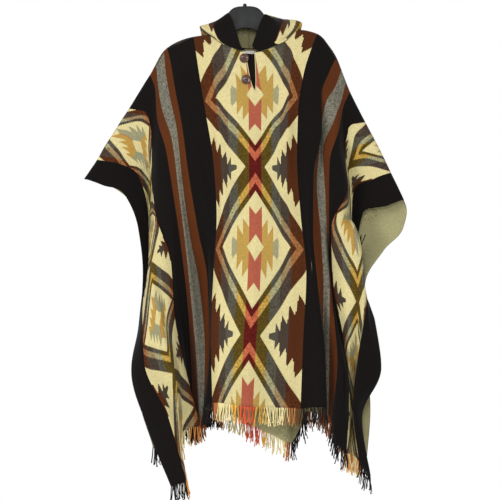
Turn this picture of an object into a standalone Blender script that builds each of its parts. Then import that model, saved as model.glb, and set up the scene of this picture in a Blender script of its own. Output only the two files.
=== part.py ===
"""Hooded wool poncho on a plain hanger, hung from the hanger's hook.

The origin is the inside top of the hook. +Z is up, -Y is the front, units are metres.
The poncho is one oblong of blanket cloth, folded over the shoulders. Its front and its
back are draped from guide rows: each row is one line of the cloth, a stripe's edge, a
fold's crest or its valley, which runs from the shoulder to the hem.
"""

import math
from collections import namedtuple

import bmesh
import bpy
import mathutils
import numpy as np

MM = 0.001

# Cut of the cloth
CLOTH_LENGTH = 1.000
CLOTH_WALL = 0.002
SEAM_GAP = 0.0003
SHOULDER_ROUND = 0.007
SHOULDER_PARTING = 0.0008
STEEPEST_LEAN = 0.03
NECK_HALF = 0.105
NECK_FLAT = 0.070
FRONT_SCOOP = 0.078
BACK_SCOOP = 0.050
SLIT_LENGTH = 0.092
SLIT_WIDTH = 0.019

# How finely the walls are divided
COLUMN_STEP = 0.025
FALL_ROWS = (0.0, 0.005, 0.011, 0.03, 0.06, 0.1, 0.15, 0.2, 0.25, 0.3, 0.36, 0.42,
             0.48, 0.54, 0.6, 0.66, 0.72, 0.79, 0.86, 0.93, 1.0)

# Each row is a line of the cloth from shoulder to hem. cloth is its distance from the
# panel's centre, drop_top and drop_hem are its ends below the hook, across is its place
# left and right, and proud its distance in front of the hanger, at these parts of the
# way down. All are in millimetres.
WAY_DOWN = (0.0, 0.05, 0.12, 0.22, 0.35, 0.50, 0.65, 0.82, 1.0)
Guide = namedtuple("Guide", "cloth drop_top drop_hem across proud")

FRONT_GUIDES = (
    Guide(-614, 512, 1310, (-432, -386, -326, -292, -280, -290, -308, -266, -205),
          (0, -6, -16, -26, -42, -30, 36, 60, 58)),
    Guide(-585, 487, 1304, (-415, -364, -306, -276, -268, -284, -294, -240, -186),
          (0, -6, -20, -36, -50, -16, 46, 72, 66)),
    Guide(-555, 462, 1295, (-398, -344, -290, -268, -264, -279, -275, -212, -166),
          (0, -6, -22, -44, -56, 2, 52, 72, 62)),
    Guide(-520, 428, 1262, (-379, -330, -284, -266, -264, -268, -252, -200, -170),
          (0, -4, -22, -50, -48, 24, 50, 56, 42)),
    Guide(-480, 391, 1215, (-355, -310, -274, -260, -260, -254, -232, -190, -180),
          (0, -2, -16, -46, -24, 42, 48, 42, 28)),
    Guide(-440, 356, 1172, (-333, -286, -266, -257, -252, -233, -218, -184, -176),
          (0, 0, -8, -34, 10, 36, 34, 4, -6)),
    Guide(-404, 329, 1157, (-315, -268, -256, -255, -246, -206, -198, -170, -130),
          (0, 2, -2, -16, 26, 34, 26, -2, -10)),
    Guide(-360, 285, 1160, (-288, -256, -250, -240, -220, -196, -182, -167, -154),
          (0, 5, 4, 24, 36, 30, 0, -38, -56)),
    Guide(-318, 242, 1160, (-261, -246, -242, -218, -198, -178, -163, -154, -149),
          (0, 8, 16, 38, 40, 26, -8, -54, -74)),
    Guide(-286, 218, 1150, (-244, -240, -230, -202, -186, -168, -154, -140, -132),
          (0, 11, 28, 42, 40, 24, -6, -36, -46)),
    Guide(-248, 183, 1135, (-224, -220, -210, -190, -177, -158, -132, -118, -121),
          (0, 14, 32, 44, 40, 22, -10, -26, -24)),
    Guide(-216, 172, 1118, (-217, -206, -195, -177, -160, -136, -110, -104, -122),
          (0, 16, 34, 44, 40, 26, -12, -14, 0)),
    Guide(-175, 158, 1100, (-184, -176, -166, -150, -128, -112, -103, -104, -112),
          (0, 18, 36, 42, 38, 30, 14, 20, 26)),
    Guide(-135, 142, 1095, (-148, -141, -131, -115, -95, -86, -94, -101, -97),
          (0, 20, 34, 40, 40, 38, 36, 38, 40)),
    Guide(-105, 138, 1094, (-112, -107, -101, -90, -78, -72, -76, -84, -82),
          (3, 26, 40, 50, 54, 54, 52, 54, 56)),
    Guide(-70, 162, 1096, (-70, -64, -58, -56, -54, -52, -54, -62, -64),
          (32, 42, 50, 58, 62, 62, 62, 66, 68)),
    Guide(0, 184, 1102, (5, 9, 13, 13, 14, 15, 10, -1, -8),
          (50, 54, 58, 64, 72, 76, 78, 82, 84)),
    Guide(70, 158, 1106, (87, 84, 81, 77, 75, 79, 78, 70, 60),
          (32, 42, 52, 58, 60, 62, 62, 64, 66)),
    Guide(105, 124, 1107, (132, 120, 110, 103, 99, 106, 112, 104, 96),
          (3, 26, 40, 48, 50, 50, 54, 58, 62)),
    Guide(135, 135, 1108, (177, 160, 140, 125, 122, 132, 146, 138, 131),
          (0, 20, 34, 38, 38, 40, 46, 50, 56)),
    Guide(170, 158, 1105, (200, 184, 166, 154, 142, 148, 160, 164, 166),
          (0, 18, 38, 44, 44, 44, 48, 52, 60)),
    Guide(206, 190, 1104, (220, 201, 184, 186, 162, 159, 170, 192, 199),
          (0, 16, 36, 46, 48, 46, 44, 50, 58)),
    Guide(230, 212, 1107, (231, 213, 187, 182, 167, 170, 182, 187, 190),
          (0, 14, 32, 18, 34, 36, 38, 22, 28)),
    Guide(262, 242, 1118, (243, 232, 204, 184, 180, 194, 197, 192, 191),
          (0, 12, 32, 14, 30, 26, 34, 6, 2)),
    Guide(290, 266, 1128, (251, 240, 222, 192, 198, 202, 208, 210, 206),
          (0, 10, 34, 30, 32, 8, 34, 20, 4)),
    Guide(318, 287, 1145, (261, 243, 231, 208, 206, 206, 216, 228, 212),
          (0, 8, 26, 40, 36, 2, 22, 40, 34)),
    Guide(360, 325, 1190, (280, 250, 240, 238, 212, 211, 226, 246, 222),
          (0, 4, 4, 44, 26, -6, 18, 52, 60)),
    Guide(404, 364, 1225, (300, 256, 247, 254, 212, 216, 241, 257, 250),
          (0, 0, -12, 14, 30, 18, 20, 10, 52)),
    Guide(440, 398, 1228, (318, 270, 252, 256, 237, 244, 256, 259, 257),
          (0, -2, -22, -16, 46, 42, 34, 0, 32)),
    Guide(480, 432, 1230, (336, 286, 256, 260, 270, 280, 277, 269, 263),
          (0, -4, -26, -38, 50, 54, 40, -12, 2)),
    Guide(520, 466, 1236, (353, 305, 264, 262, 288, 297, 287, 273, 274),
          (0, -6, -28, -46, 26, 50, 46, 12, -4)),
    Guide(555, 496, 1246, (367, 322, 272, 266, 284, 302, 283, 268, 284),
          (0, -6, -30, -54, -34, 44, 62, 42, 12)),
    Guide(585, 530, 1266, (384, 340, 282, 274, 280, 312, 308, 276, 299),
          (0, -6, -30, -58, -46, 40, 70, 48, 26)),
    Guide(614, 566, 1284, (401, 356, 294, 282, 284, 324, 340, 291, 313),
          (0, -6, -28, -60, -60, 28, 60, 30, 38)),
)

BACK_GUIDES = (
    Guide(-614, 512, 1212, (-432, -388, -333, -280, -262, -270, -288, -290, -254),
          (0, -20, -40, -58, -70, -60, -56, -56, -50)),
    Guide(-555, 462, 1220, (-398, -358, -308, -262, -244, -248, -262, -262, -224),
          (0, -20, -44, -68, -88, -82, -78, -80, -74)),
    Guide(-480, 391, 1190, (-355, -316, -268, -238, -222, -222, -230, -232, -200),
          (0, -22, -50, -78, -94, -94, -96, -100, -100)),
    Guide(-404, 329, 1162, (-315, -280, -240, -214, -198, -194, -198, -198, -176),
          (0, -22, -46, -66, -78, -80, -82, -84, -84)),
    Guide(-318, 242, 1138, (-261, -240, -212, -190, -174, -166, -166, -164, -150),
          (0, -22, -42, -58, -74, -86, -96, -104, -108)),
    Guide(-216, 172, 1122, (-217, -206, -190, -172, -156, -146, -140, -134, -122),
          (0, -22, -36, -44, -52, -58, -64, -68, -70)),
    Guide(-135, 142, 1120, (-148, -141, -132, -122, -112, -104, -98, -92, -84),
          (0, -28, -46, -60, -72, -82, -90, -96, -100)),
    Guide(-105, 138, 1124, (-112, -108, -102, -94, -86, -80, -74, -70, -66),
          (-3, -34, -52, -64, -74, -82, -88, -92, -94)),
    Guide(-70, 158, 1134, (-72, -68, -64, -58, -52, -48, -44, -42, -40),
          (-28, -44, -56, -62, -66, -68, -70, -72, -74)),
    Guide(0, 172, 1158, (-3, -1, 2, 4, 4, 6, 8, 8, 8),
          (-44, -54, -64, -72, -80, -86, -92, -96, -100)),
    Guide(70, 156, 1184, (84, 80, 74, 68, 62, 58, 58, 60, 62),
          (-28, -44, -56, -62, -64, -64, -66, -68, -66)),
    Guide(105, 124, 1200, (132, 122, 112, 102, 92, 86, 86, 90, 92),
          (-3, -34, -52, -64, -72, -76, -78, -76, -70)),
    Guide(135, 135, 1204, (177, 160, 142, 126, 116, 110, 110, 112, 108),
          (0, -26, -46, -62, -74, -84, -92, -96, -92)),
    Guide(180, 166, 1152, (206, 186, 168, 150, 136, 128, 128, 134, 138),
          (0, -24, -42, -54, -60, -64, -68, -72, -72)),
    Guide(216, 196, 1120, (225, 208, 190, 172, 158, 150, 150, 156, 150),
          (0, -22, -38, -46, -52, -58, -64, -72, -80)),
    Guide(262, 242, 1124, (243, 228, 208, 190, 176, 170, 172, 182, 186),
          (0, -22, -42, -56, -66, -74, -80, -88, -94)),
    Guide(318, 287, 1144, (261, 246, 226, 206, 194, 190, 194, 206, 212),
          (0, -22, -44, -62, -78, -90, -98, -104, -104)),
    Guide(404, 364, 1186, (300, 278, 252, 232, 222, 222, 226, 236, 236),
          (0, -20, -44, -62, -72, -78, -80, -82, -82)),
    Guide(480, 432, 1206, (336, 318, 296, 272, 254, 252, 258, 266, 264),
          (0, -20, -46, -70, -90, -98, -100, -98, -96)),
    Guide(555, 496, 1228, (367, 364, 350, 312, 280, 276, 284, 292, 292),
          (0, -18, -44, -72, -88, -84, -78, -72, -74)),
    Guide(614, 566, 1240, (399, 409, 400, 350, 302, 296, 306, 315, 306),
          (0, -12, -36, -60, -66, -58, -54, -52, -54)),
)


# The back hangs free in soft folds. cloth is a fold's middle, half its width, depth how
# far it stands out behind, and start the way down at which it begins.
Fold = namedtuple("Fold", "cloth half depth start")
BACK_FOLDS = (
    Fold(-525, 42, 24, 0.16),
    Fold(-425, 46, -20, 0.24),
    Fold(-356, 44, 12, 0.12),
    Fold(-262, 44, -18, 0.20),
    Fold(-176, 46, 34, 0.10),
    Fold(-60, 52, 20, 0.30),
    Fold(30, 44, -14, 0.42),
    Fold(160, 40, 26, 0.18),
    Fold(238, 38, -20, 0.14),
    Fold(334, 50, 12, 0.10),
    Fold(428, 44, -22, 0.22),
    Fold(518, 42, 24, 0.26),
)

# The hood stands round the neck and slumps behind it. around is the way from the front
# edge, past the shoulder at a half, to the middle of the back; the other columns follow
# the cloth from the neck seam up to the opening's edge. The right half sits higher.
Section = namedtuple("Section", "around across drop proud")
HOOD_LEFT = (
    Section(0.0, (-24, -29, -34, -39, -44, -51, -57), (166, 150, 133, 117, 101, 88, 79),
            (46, 42, 36, 28, 20, 15, 11)),
    Section(0.25, (-65, -75, -83, -86, -82, -75, -67), (159, 144, 127, 112, 99, 91, 85),
            (39, 35, 28, 20, 10, 1, -8)),
    Section(0.42, (-98, -105, -110, -109, -100, -84, -62), (138, 130, 121, 113, 105, 97, 84),
            (16, 15, 10, 3, -6, -14, -24)),
    Section(0.5, (-119, -126, -129, -122, -109, -86, -52), (130, 122, 116, 112, 106, 97, 83),
            (1, -3, -8, -13, -22, -30, -38)),
    Section(0.58, (-98, -112, -122, -121, -111, -87, -46), (143, 147, 156, 150, 124, 99, 81),
            (-29, -36, -46, -54, -54, -47, -43)),
    Section(0.75, (-73, -94, -107, -109, -104, -83, -31), (166, 192, 234, 224, 172, 114, 79),
            (-50, -66, -84, -104, -102, -80, -54)),
    Section(1.0, (-3, -3, -3, -3, -3, -3, -3), (168, 204, 288, 298, 218, 120, 80),
            (-60, -72, -88, -110, -128, -106, -62)),
)
HOOD_RIGHT = (
    Section(0.0, (6, 11, 16, 21, 26, 33, 39), (166, 150, 134, 119, 104, 91, 82),
            (46, 42, 36, 28, 20, 15, 11)),
    Section(0.25, (68, 77, 84, 87, 83, 76, 66), (156, 142, 128, 117, 108, 101, 95),
            (38, 34, 28, 20, 10, 1, -8)),
    Section(0.42, (112, 117, 120, 116, 105, 87, 62), (133, 125, 115, 106, 99, 95, 90),
            (16, 15, 10, 3, -6, -14, -24)),
    Section(0.5, (133, 134, 133, 126, 112, 89, 54), (117, 110, 104, 100, 96, 94, 87),
            (1, -3, -8, -13, -22, -30, -38)),
    Section(0.58, (114, 124, 130, 127, 114, 90, 46), (136, 139, 146, 140, 116, 96, 82),
            (-27, -36, -46, -54, -54, -47, -43)),
    Section(0.75, (70, 91, 104, 106, 101, 80, 28), (163, 189, 231, 221, 169, 113, 80),
            (-50, -66, -84, -104, -102, -80, -54)),
    Section(1.0, (-3, -3, -3, -3, -3, -3, -3), (168, 204, 288, 298, 218, 120, 80),
            (-60, -72, -88, -110, -128, -106, -62)),
)
HOOD_MIDDLE = -0.003
HOOD_FRONT_CORNER = 0.014
HOOD_SEAM_RISE = 0.0019
HOOD_SEAM_BEHIND = 0.0028
HOOD_BEHIND_FROM = 0.06
HOOD_CORNER_RISE = 0.0020
HOOD_CORNER_REACH = 0.2
HOOD_ROWS = 12

# Fringe, buttons, label and underlap
FRINGE_STEP = 0.0134
FRINGE_LENGTH = 0.050
FRINGE_HEADING = 0.005
FRINGE_GAP = 0.0006
FRINGE_LEAN = 0.06
FRINGE_ALONG = 0.5
FRINGE_OUT = 0.05
FRINGE_STEEP_CUT = 0.8
BUTTON_RADIUS = 0.0125
BUTTON_THICK = 0.0045
BUTTON_DISH = 0.0009
BUTTON_HOLE = 0.0015
BUTTON_HOLE_OFF = 0.0030
Button = namedtuple("Button", "name cloth fall")
BUTTONS = (Button("button_upper", -0.020, 0.020), Button("button_lower", -0.021, 0.081))
LABEL_WIDTH = 0.034
LABEL_HEIGHT = 0.018
LABEL_THICK = 0.0006
LABEL_TOP = 0.004
UNDERLAP_LEFT = -0.030
UNDERLAP_RIGHT = 0.024
UNDERLAP_TOP = 0.004
UNDERLAP_FOOT = 0.125
UNDERLAP_OFF = 0.0027

# Hanger: half of its outline, from the middle of the hump to the end of the arm and back
# under it, as distances from its middle and below the hook
HANGER_MIDDLE = -0.013
HANGER_THICK = 0.0120
HANGER_TILT = math.radians(0.8)
HANGER_HALF = (
    (0.000, 0.0610), (0.022, 0.0615), (0.038, 0.069), (0.052, 0.088), (0.065, 0.111),
    (0.077, 0.131), (0.088, 0.141), (0.097, 0.1445), (0.122, 0.1448), (0.135, 0.1456),
    (0.171, 0.1572), (0.190, 0.166), (0.199, 0.175), (0.203, 0.184), (0.198, 0.191),
    (0.176, 0.186), (0.136, 0.177), (0.099, 0.172), (0.070, 0.160), (0.042, 0.136),
    (0.020, 0.122), (0.000, 0.118),
)
WIRE_RADIUS = 0.00175
HOOK_RADIUS = 0.020
HOOK_STEM = [
    (-0.0175, -0.0285), (-0.0145, -0.0345), (-0.0130, -0.0410), (-0.0125, -0.0480),
    (-0.0125, -0.0545),
]
FERRULE_RADIUS = 0.005
FERRULE_HEIGHT = 0.006
FERRULE_TOP = -0.0548
FERRULE_ASIDE = 0.0005


def smooth_between(knots, values, wanted):
    """Curves through rows of values without overshoot, so crests and valleys are round."""
    step = np.diff(knots)
    rise = np.diff(values, axis=0) / step[:, None]
    slope = np.zeros_like(values)
    slope[0], slope[-1] = rise[0], rise[-1]
    before, after = rise[:-1], rise[1:]
    weight_a = (2 * step[1:] + step[:-1])[:, None]
    weight_b = (step[1:] + 2 * step[:-1])[:, None]
    same_way = before * after > 0
    mean = (weight_a + weight_b) / (
        weight_a / np.where(same_way, before, 1) + weight_b / np.where(same_way, after, 1)
    )
    slope[1:-1] = np.where(same_way, mean, 0.0)
    at = np.clip(np.searchsorted(knots, wanted, side="right") - 1, 0, len(knots) - 2)
    part = ((wanted - knots[at]) / step[at])[:, None]
    width = step[at][:, None]
    return (
        values[at] * (1 + 2 * part) * (1 - part) ** 2
        + slope[at] * width * part * (1 - part) ** 2
        + values[at + 1] * part**2 * (3 - 2 * part)
        + slope[at + 1] * width * part**2 * (part - 1)
    )


class Drape:
    """One half of the poncho: turns a place on the cloth into a place in the room."""

    FINE = 400

    def __init__(self, guides, scoop, facing, folds=()):
        self.facing = facing
        self.scoop = scoop
        self.folds = folds
        self.cloth = np.array([g.cloth for g in guides]) * MM
        self.ends = np.array([(g.drop_top, g.drop_hem) for g in guides]) * MM
        self.across = np.array([g.across for g in guides]) * MM
        self.proud = np.array([g.proud for g in guides]) * MM

    def neck_cut(self, cloth):
        """Length of cloth cut away above the neckline."""
        inside = np.clip(1 - (cloth / NECK_HALF) ** 2, 0, 1)
        return self.scoop * inside**0.5

    def lines(self, cloth):
        """For each distance from the centre, the fine line from shoulder to hem."""
        ends = smooth_between(self.cloth, self.ends, cloth)
        fall = np.linspace(0, 1, self.FINE + 1)
        way = np.array(WAY_DOWN)
        across = smooth_between(way, smooth_between(self.cloth, self.across, cloth).T, fall)
        proud = smooth_between(way, smooth_between(self.cloth, self.proud, cloth).T, fall)
        length = CLOTH_LENGTH - self.neck_cut(cloth)
        travelled = fall[:, None] * length
        turn = np.minimum(travelled / SHOULDER_ROUND, math.pi / 2)
        over_hanger = np.clip((np.abs(cloth) - NECK_FLAT) / (NECK_HALF - NECK_FLAT), 0, 1)
        proud = proud + self.facing * SHOULDER_ROUND * np.sin(turn) * over_hanger
        proud = proud + self.facing * SHOULDER_PARTING
        for fold in self.folds:
            near = np.clip(np.abs(cloth * 1000 - fold.cloth) / fold.half, 0, 1)
            grown = np.clip((fall - fold.start) / 0.5, 0, 1)
            rise = (grown**2 * (3 - 2 * grown))[:, None] * (1 - near**2) ** 2
            proud = proud + self.facing * fold.depth * MM * rise
        run = length / self.FINE
        sideways = np.diff(across, axis=0) / run
        forwards = np.diff(proud, axis=0) / run
        sink = np.sqrt(np.maximum(STEEPEST_LEAN, 1 - sideways**2 - forwards**2)) * run
        drop = np.vstack([np.zeros(len(cloth)), np.cumsum(sink, axis=0)])
        drop = ends[:, 0] + drop / drop[-1] * (ends[:, 1] - ends[:, 0])
        return np.stack([across, -proud, -drop], axis=2)

    def grid(self, cloth, fall):
        """Points of the sheet, first along the cloth's width, then down its length."""
        lines = self.lines(np.asarray(cloth, dtype=float))
        at = np.asarray(fall) * self.FINE
        low = np.minimum(at.astype(int), self.FINE - 1)
        part = (at - low)[:, None, None]
        return (lines[low] * (1 - part) + lines[low + 1] * part).transpose(1, 0, 2)


FRONT = Drape(FRONT_GUIDES, FRONT_SCOOP, 1)
BACK = Drape(BACK_GUIDES, BACK_SCOOP, -1, BACK_FOLDS)

for leftover in list(bpy.data.objects):
    bpy.data.objects.remove(leftover, do_unlink=True)
part = bpy.data.collections.new("hooded_poncho")
cutters = bpy.data.collections.new("cutters")
bpy.context.scene.collection.children.link(part)
bpy.context.scene.collection.children.link(cutters)


def material(name, colour, roughness, metallic=0.0):
    made = bpy.data.materials.new(name)
    made.use_nodes = True
    shader = made.node_tree.nodes["Principled BSDF"]
    shader.inputs["Base Color"].default_value = (*colour, 1.0)
    shader.inputs["Roughness"].default_value = roughness
    shader.inputs["Metallic"].default_value = metallic
    return made


def add_object(name, mesh, finish, collection=part):
    made = bpy.data.objects.new(name, mesh)
    mesh.materials.append(finish)
    collection.objects.link(made)
    return made


def thicken(thing, wall):
    solidify = thing.modifiers.new("wall", "SOLIDIFY")
    solidify.thickness = wall
    solidify.offset = 0.0
    return solidify


def sheet_mesh(name, points, slit_rows=0, slit_column=None, slit_shift=None):
    """An open surface through a grid of points, with a slit down one of its columns."""
    columns, rows = points.shape[:2]
    bm = bmesh.new()
    corner = [[bm.verts.new(points[c, r]) for r in range(rows)] for c in range(columns)]
    other = {}
    for r in range(slit_rows):
        middle = corner[slit_column][r].co.copy()
        left, right = slit_shift(r)
        corner[slit_column][r].co = middle + left
        other[r] = bm.verts.new(middle + right)
    for c in range(columns - 1):
        for r in range(rows - 1):
            a, b = corner[c][r], corner[c][r + 1]
            if c == slit_column:
                a, b = other.get(r, a), other.get(r + 1, b)
            bm.faces.new((a, b, corner[c + 1][r + 1], corner[c + 1][r]))
    mesh = bpy.data.meshes.new(name)
    bm.to_mesh(mesh)
    bm.free()
    for face in mesh.polygons:
        face.use_smooth = True
    return mesh


def panel_columns(drape):
    """Distances across the cloth: every guide row, and more where two lie far apart."""
    places = []
    for left, right in zip(drape.cloth[:-1], drape.cloth[1:]):
        splits = max(1, round((right - left) / COLUMN_STEP))
        places += [left + (right - left) * k / splits for k in range(splits)]
    return np.array(places + [drape.cloth[-1]])


def on_wall(drape, places, falls, off):
    """Points on the flat facets of a panel's wall, moved out of the cloth by off."""
    columns = panel_columns(drape)
    grid = drape.grid(columns, FALL_ROWS)
    found = np.empty((len(places), len(falls), 3))
    for axis in range(3):
        rows = [np.interp(places, columns, grid[:, r, axis]) for r in range(len(FALL_ROWS))]
        found[..., axis] = [np.interp(falls, FALL_ROWS, line) for line in np.transpose(rows)]
    for c, cloth in enumerate(places):
        for r, fall in enumerate(falls):
            found[c, r] += surface_normal(drape, cloth, fall) * off
    return found


def cloth_front(finish):
    places = panel_columns(FRONT)
    points = FRONT.grid(places, FALL_ROWS)
    length = CLOTH_LENGTH - FRONT_SCOOP
    slit_rows = sum(1 for fall in FALL_ROWS if fall * length < SLIT_LENGTH)

    def slit_shift(row):
        opening = SLIT_WIDTH * (1 - FALL_ROWS[row] * length / SLIT_LENGTH)
        return mathutils.Vector((-0.6 * opening, 0, 0)), mathutils.Vector((0.4 * opening, 0, 0))

    middle = int(np.argmin(np.abs(places)))
    mesh = sheet_mesh("cloth_front", points, slit_rows, middle, slit_shift)
    thicken(add_object("cloth_front", mesh, finish), CLOTH_WALL)


def cloth_back(finish):
    points = BACK.grid(panel_columns(BACK), FALL_ROWS)
    mesh = sheet_mesh("cloth_back", points[::-1])
    thicken(add_object("cloth_back", mesh, finish), CLOTH_WALL)


def halved(places):
    return np.sort(np.concatenate([places, (places[1:] + places[:-1]) / 2]))


def neck_seam(side):
    """Places along the neckline, from the slit round to the middle of the back, with
    how far round each one is."""
    half = panel_columns(FRONT)
    half = half[(half > HOOD_FRONT_CORNER) & (half < NECK_HALF + 0.001)]
    front = np.concatenate([[HOOD_FRONT_CORNER], half])
    rear = np.concatenate([[0.0], half])
    front = halved(front)
    rear = halved(rear)
    rear = np.concatenate([rear[:-3], halved(rear[-3:])])[-2::-1]
    front = np.concatenate([front[:-3], halved(front[-3:])])
    rounds = np.concatenate([
        0.5 * (front - HOOD_FRONT_CORNER) / (NECK_HALF - HOOD_FRONT_CORNER),
        1 - 0.5 * rear / NECK_HALF,
    ])
    edge = np.concatenate([
        on_wall(FRONT, side * front, [0.0], 0)[:, 0],
        on_wall(BACK, side * rear, [0.0], 0)[:, 0],
    ])
    behind = np.clip((rounds - 0.5) / HOOD_BEHIND_FROM, 0, 1) * HOOD_SEAM_BEHIND
    corner = np.clip(1 - np.abs(rounds - 0.5) / HOOD_CORNER_REACH, 0, 1)
    edge[:, 1] += behind
    edge[:, 2] += HOOD_SEAM_RISE + corner * HOOD_CORNER_RISE
    return rounds, edge


def hood_grid(side, rows):
    """Points of one half of the hood, from its front edge round to the back seam."""
    rounds, feet = neck_seam(side)
    sections = HOOD_LEFT if side < 0 else HOOD_RIGHT
    known = np.array([s.around for s in sections])
    stations = np.array([np.transpose((s.across, s.proud, s.drop)) for s in sections])
    stations = stations * (MM, -MM, -MM)
    flat = smooth_between(known, stations.reshape(len(known), -1), rounds)
    curves = flat.reshape(len(rounds), -1, 3)
    curves = np.concatenate([feet[:, None], curves], axis=1)
    knots = np.linspace(0, 1, curves.shape[1])
    wanted = np.linspace(0, 1, rows)
    points = np.array([smooth_between(knots, curve, wanted) for curve in curves])
    seam = HOOD_MIDDLE + side * (CLOTH_WALL / 2 + SEAM_GAP)
    points[..., 0] = np.maximum(points[..., 0] * side, seam * side) * side
    points[-1, :, 0] = seam
    return points


def hood(finish):
    for side, name in ((-1, "hood_left"), (1, "hood_right")):
        points = hood_grid(side, HOOD_ROWS)
        if side > 0:
            points = points[::-1]
        thicken(add_object(name, sheet_mesh(name, points), finish), CLOTH_WALL)


def surface_normal(drape, cloth, fall):
    """The way out of the cloth, in front of the front or behind the back."""
    small = 0.004
    spots = drape.grid([cloth - small, cloth, cloth + small], [fall, fall + small])
    along = spots[2, 0] - spots[0, 0]
    down = spots[1, 1] - spots[1, 0]
    out = np.cross(along, -down) * drape.facing
    return -out / np.linalg.norm(out) if out[1] * drape.facing > 0 else out / np.linalg.norm(out)


def underlap(finish):
    """Black strip behind the slit, from the front's own points moved in."""
    places = np.linspace(UNDERLAP_LEFT, UNDERLAP_RIGHT, 5)
    falls = np.linspace(UNDERLAP_TOP, UNDERLAP_FOOT, 8)
    mesh = sheet_mesh("slit_underlap", on_wall(FRONT, places, falls, -UNDERLAP_OFF))
    thicken(add_object("slit_underlap", mesh, finish), CLOTH_WALL)


def neck_label(finish):
    """Bare label on the inside of the back, just under the neck seam."""
    places = np.linspace(-LABEL_WIDTH / 2, LABEL_WIDTH / 2, 4)
    falls = np.linspace(LABEL_TOP, LABEL_TOP + LABEL_HEIGHT, 3)
    points = on_wall(BACK, places, falls, -CLOTH_WALL / 2 - LABEL_THICK / 2 - SEAM_GAP)
    thicken(add_object("neck_label", sheet_mesh("neck_label", points), finish), LABEL_THICK)


def turned(name, profile, steps=24):
    """A profile at +X, listed from top to bottom, turned about Z."""
    mesh = bpy.data.meshes.new(name)
    corners = [(r, 0, z) for r, z in profile]
    mesh.from_pydata(corners, [(k, k + 1) for k in range(len(corners) - 1)], [])
    thing = bpy.data.objects.new(name, mesh)
    part.objects.link(thing)
    screw = thing.modifiers.new("turn", "SCREW")
    screw.steps = screw.render_steps = steps
    screw.use_merge_vertices = True
    screw.merge_threshold = 0.0001
    return thing


def buttons(finish):
    half = BUTTON_THICK / 2
    rim = BUTTON_RADIUS
    dish = half - BUTTON_DISH
    profile = ((0, dish), (rim * 0.62, dish), (rim * 0.78, half),
               (rim * 0.93, half * 0.82), (rim, 0), (rim * 0.9, -half), (0, -half))
    for button in BUTTONS:
        out = surface_normal(FRONT, button.cloth, button.fall)
        off = CLOTH_WALL / 2 + half + 3 * SEAM_GAP
        place = on_wall(FRONT, [button.cloth], [button.fall], off)[0, 0]
        thing = turned(button.name, profile)
        thing.data.materials.append(finish)
        thing.location = place
        thing.rotation_mode = "QUATERNION"
        turn = mathutils.Vector(out).to_track_quat("Z", "Y")
        thing.rotation_quaternion = turn
        for side in (-1, 1):
            bpy.ops.mesh.primitive_cylinder_add(
                vertices=10, radius=BUTTON_HOLE, depth=BUTTON_THICK * 2
            )
            drill = bpy.context.object
            drill.name = f"{button.name}_drill_{'left' if side < 0 else 'right'}"
            for home in drill.users_collection:
                home.objects.unlink(drill)
            cutters.objects.link(drill)
            drill.hide_render = True
            drill.display_type = "WIRE"
            drill.rotation_mode = "QUATERNION"
            drill.rotation_quaternion = turn
            aside = mathutils.Vector((side * BUTTON_HOLE_OFF, 0, 0))
            drill.location = mathutils.Vector(place) + turn @ aside
            hole = thing.modifiers.new("hole", "BOOLEAN")
            hole.operation = "DIFFERENCE"
            hole.object = drill
        thing.data.shade_smooth()


def fringe(name, drape, start, end, seed, finish):
    """Strands whose roots are one narrow heading, just under a stretch of the hem."""
    rng = np.random.default_rng(seed)
    columns = panel_columns(drape)
    corners = columns[(columns > start + 0.004) & (columns < end - 0.004)]
    corners = np.concatenate([[start], corners, [end]])
    places = [start]
    for left, right in zip(corners[:-1], corners[1:]):
        halves = 2 * max(1, round((right - left) / FRINGE_STEP))
        places += list(np.linspace(left, right, halves + 1)[1:])
    stations = len(places)
    edge = drape.grid(columns, FALL_ROWS[-2:]).reshape(len(columns), 6)
    hem = np.stack([np.interp(places, columns, line) for line in edge.T], axis=1)
    hem = hem.reshape(stations, 2, 3)
    tangent = np.gradient(hem[:, 1], axis=0)
    behind = np.cross(tangent, hem[:, 1] - hem[:, 0])
    behind /= np.linalg.norm(behind, axis=1)[:, None]
    away = np.cross(behind, tangent)
    away /= np.linalg.norm(away, axis=1)[:, None]
    bm = bmesh.new()
    rings = []
    for k in range(stations):
        top = hem[k, 1] + away[k] * FRINGE_GAP
        low = top + away[k] * FRINGE_HEADING
        side = behind[k] * CLOTH_WALL / 2
        rings.append([bm.verts.new(p) for p in (top + side, top - side, low - side, low + side)])
    for k in range(stations - 1):
        a, b = rings[k], rings[k + 1]
        for i in range(4):
            j = (i + 1) % 4
            if i != 2 or k % 2 == 1:
                bm.faces.new((a[i], a[j], b[j], b[i]))
        if k % 2 == 0:
            root = (a[2].co + a[3].co + b[2].co + b[3].co) / 4
            fall = mathutils.Vector(away[k] * FRINGE_ALONG)
            fall += mathutils.Vector((0, -FRINGE_OUT * drape.facing, -1))
            fall.x += rng.uniform(-FRINGE_LEAN, FRINGE_LEAN)
            steep = abs(tangent[k][2]) / np.linalg.norm(tangent[k])
            length = FRINGE_LENGTH * rng.uniform(0.75, 1.0) * (1 - FRINGE_STEEP_CUT * steep**2)
            tip = bm.verts.new(root + fall.normalized() * length)
            loop = (a[2], a[3], b[3], b[2])
            for i in range(4):
                bm.faces.new((loop[i], loop[(i + 1) % 4], tip))
    bm.faces.new(rings[0][::-1])
    bm.faces.new(rings[-1])
    bmesh.ops.recalc_face_normals(bm, faces=bm.faces)
    mesh = bpy.data.meshes.new(name)
    bm.to_mesh(mesh)
    bm.free()
    add_object(name, mesh, finish)


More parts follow.
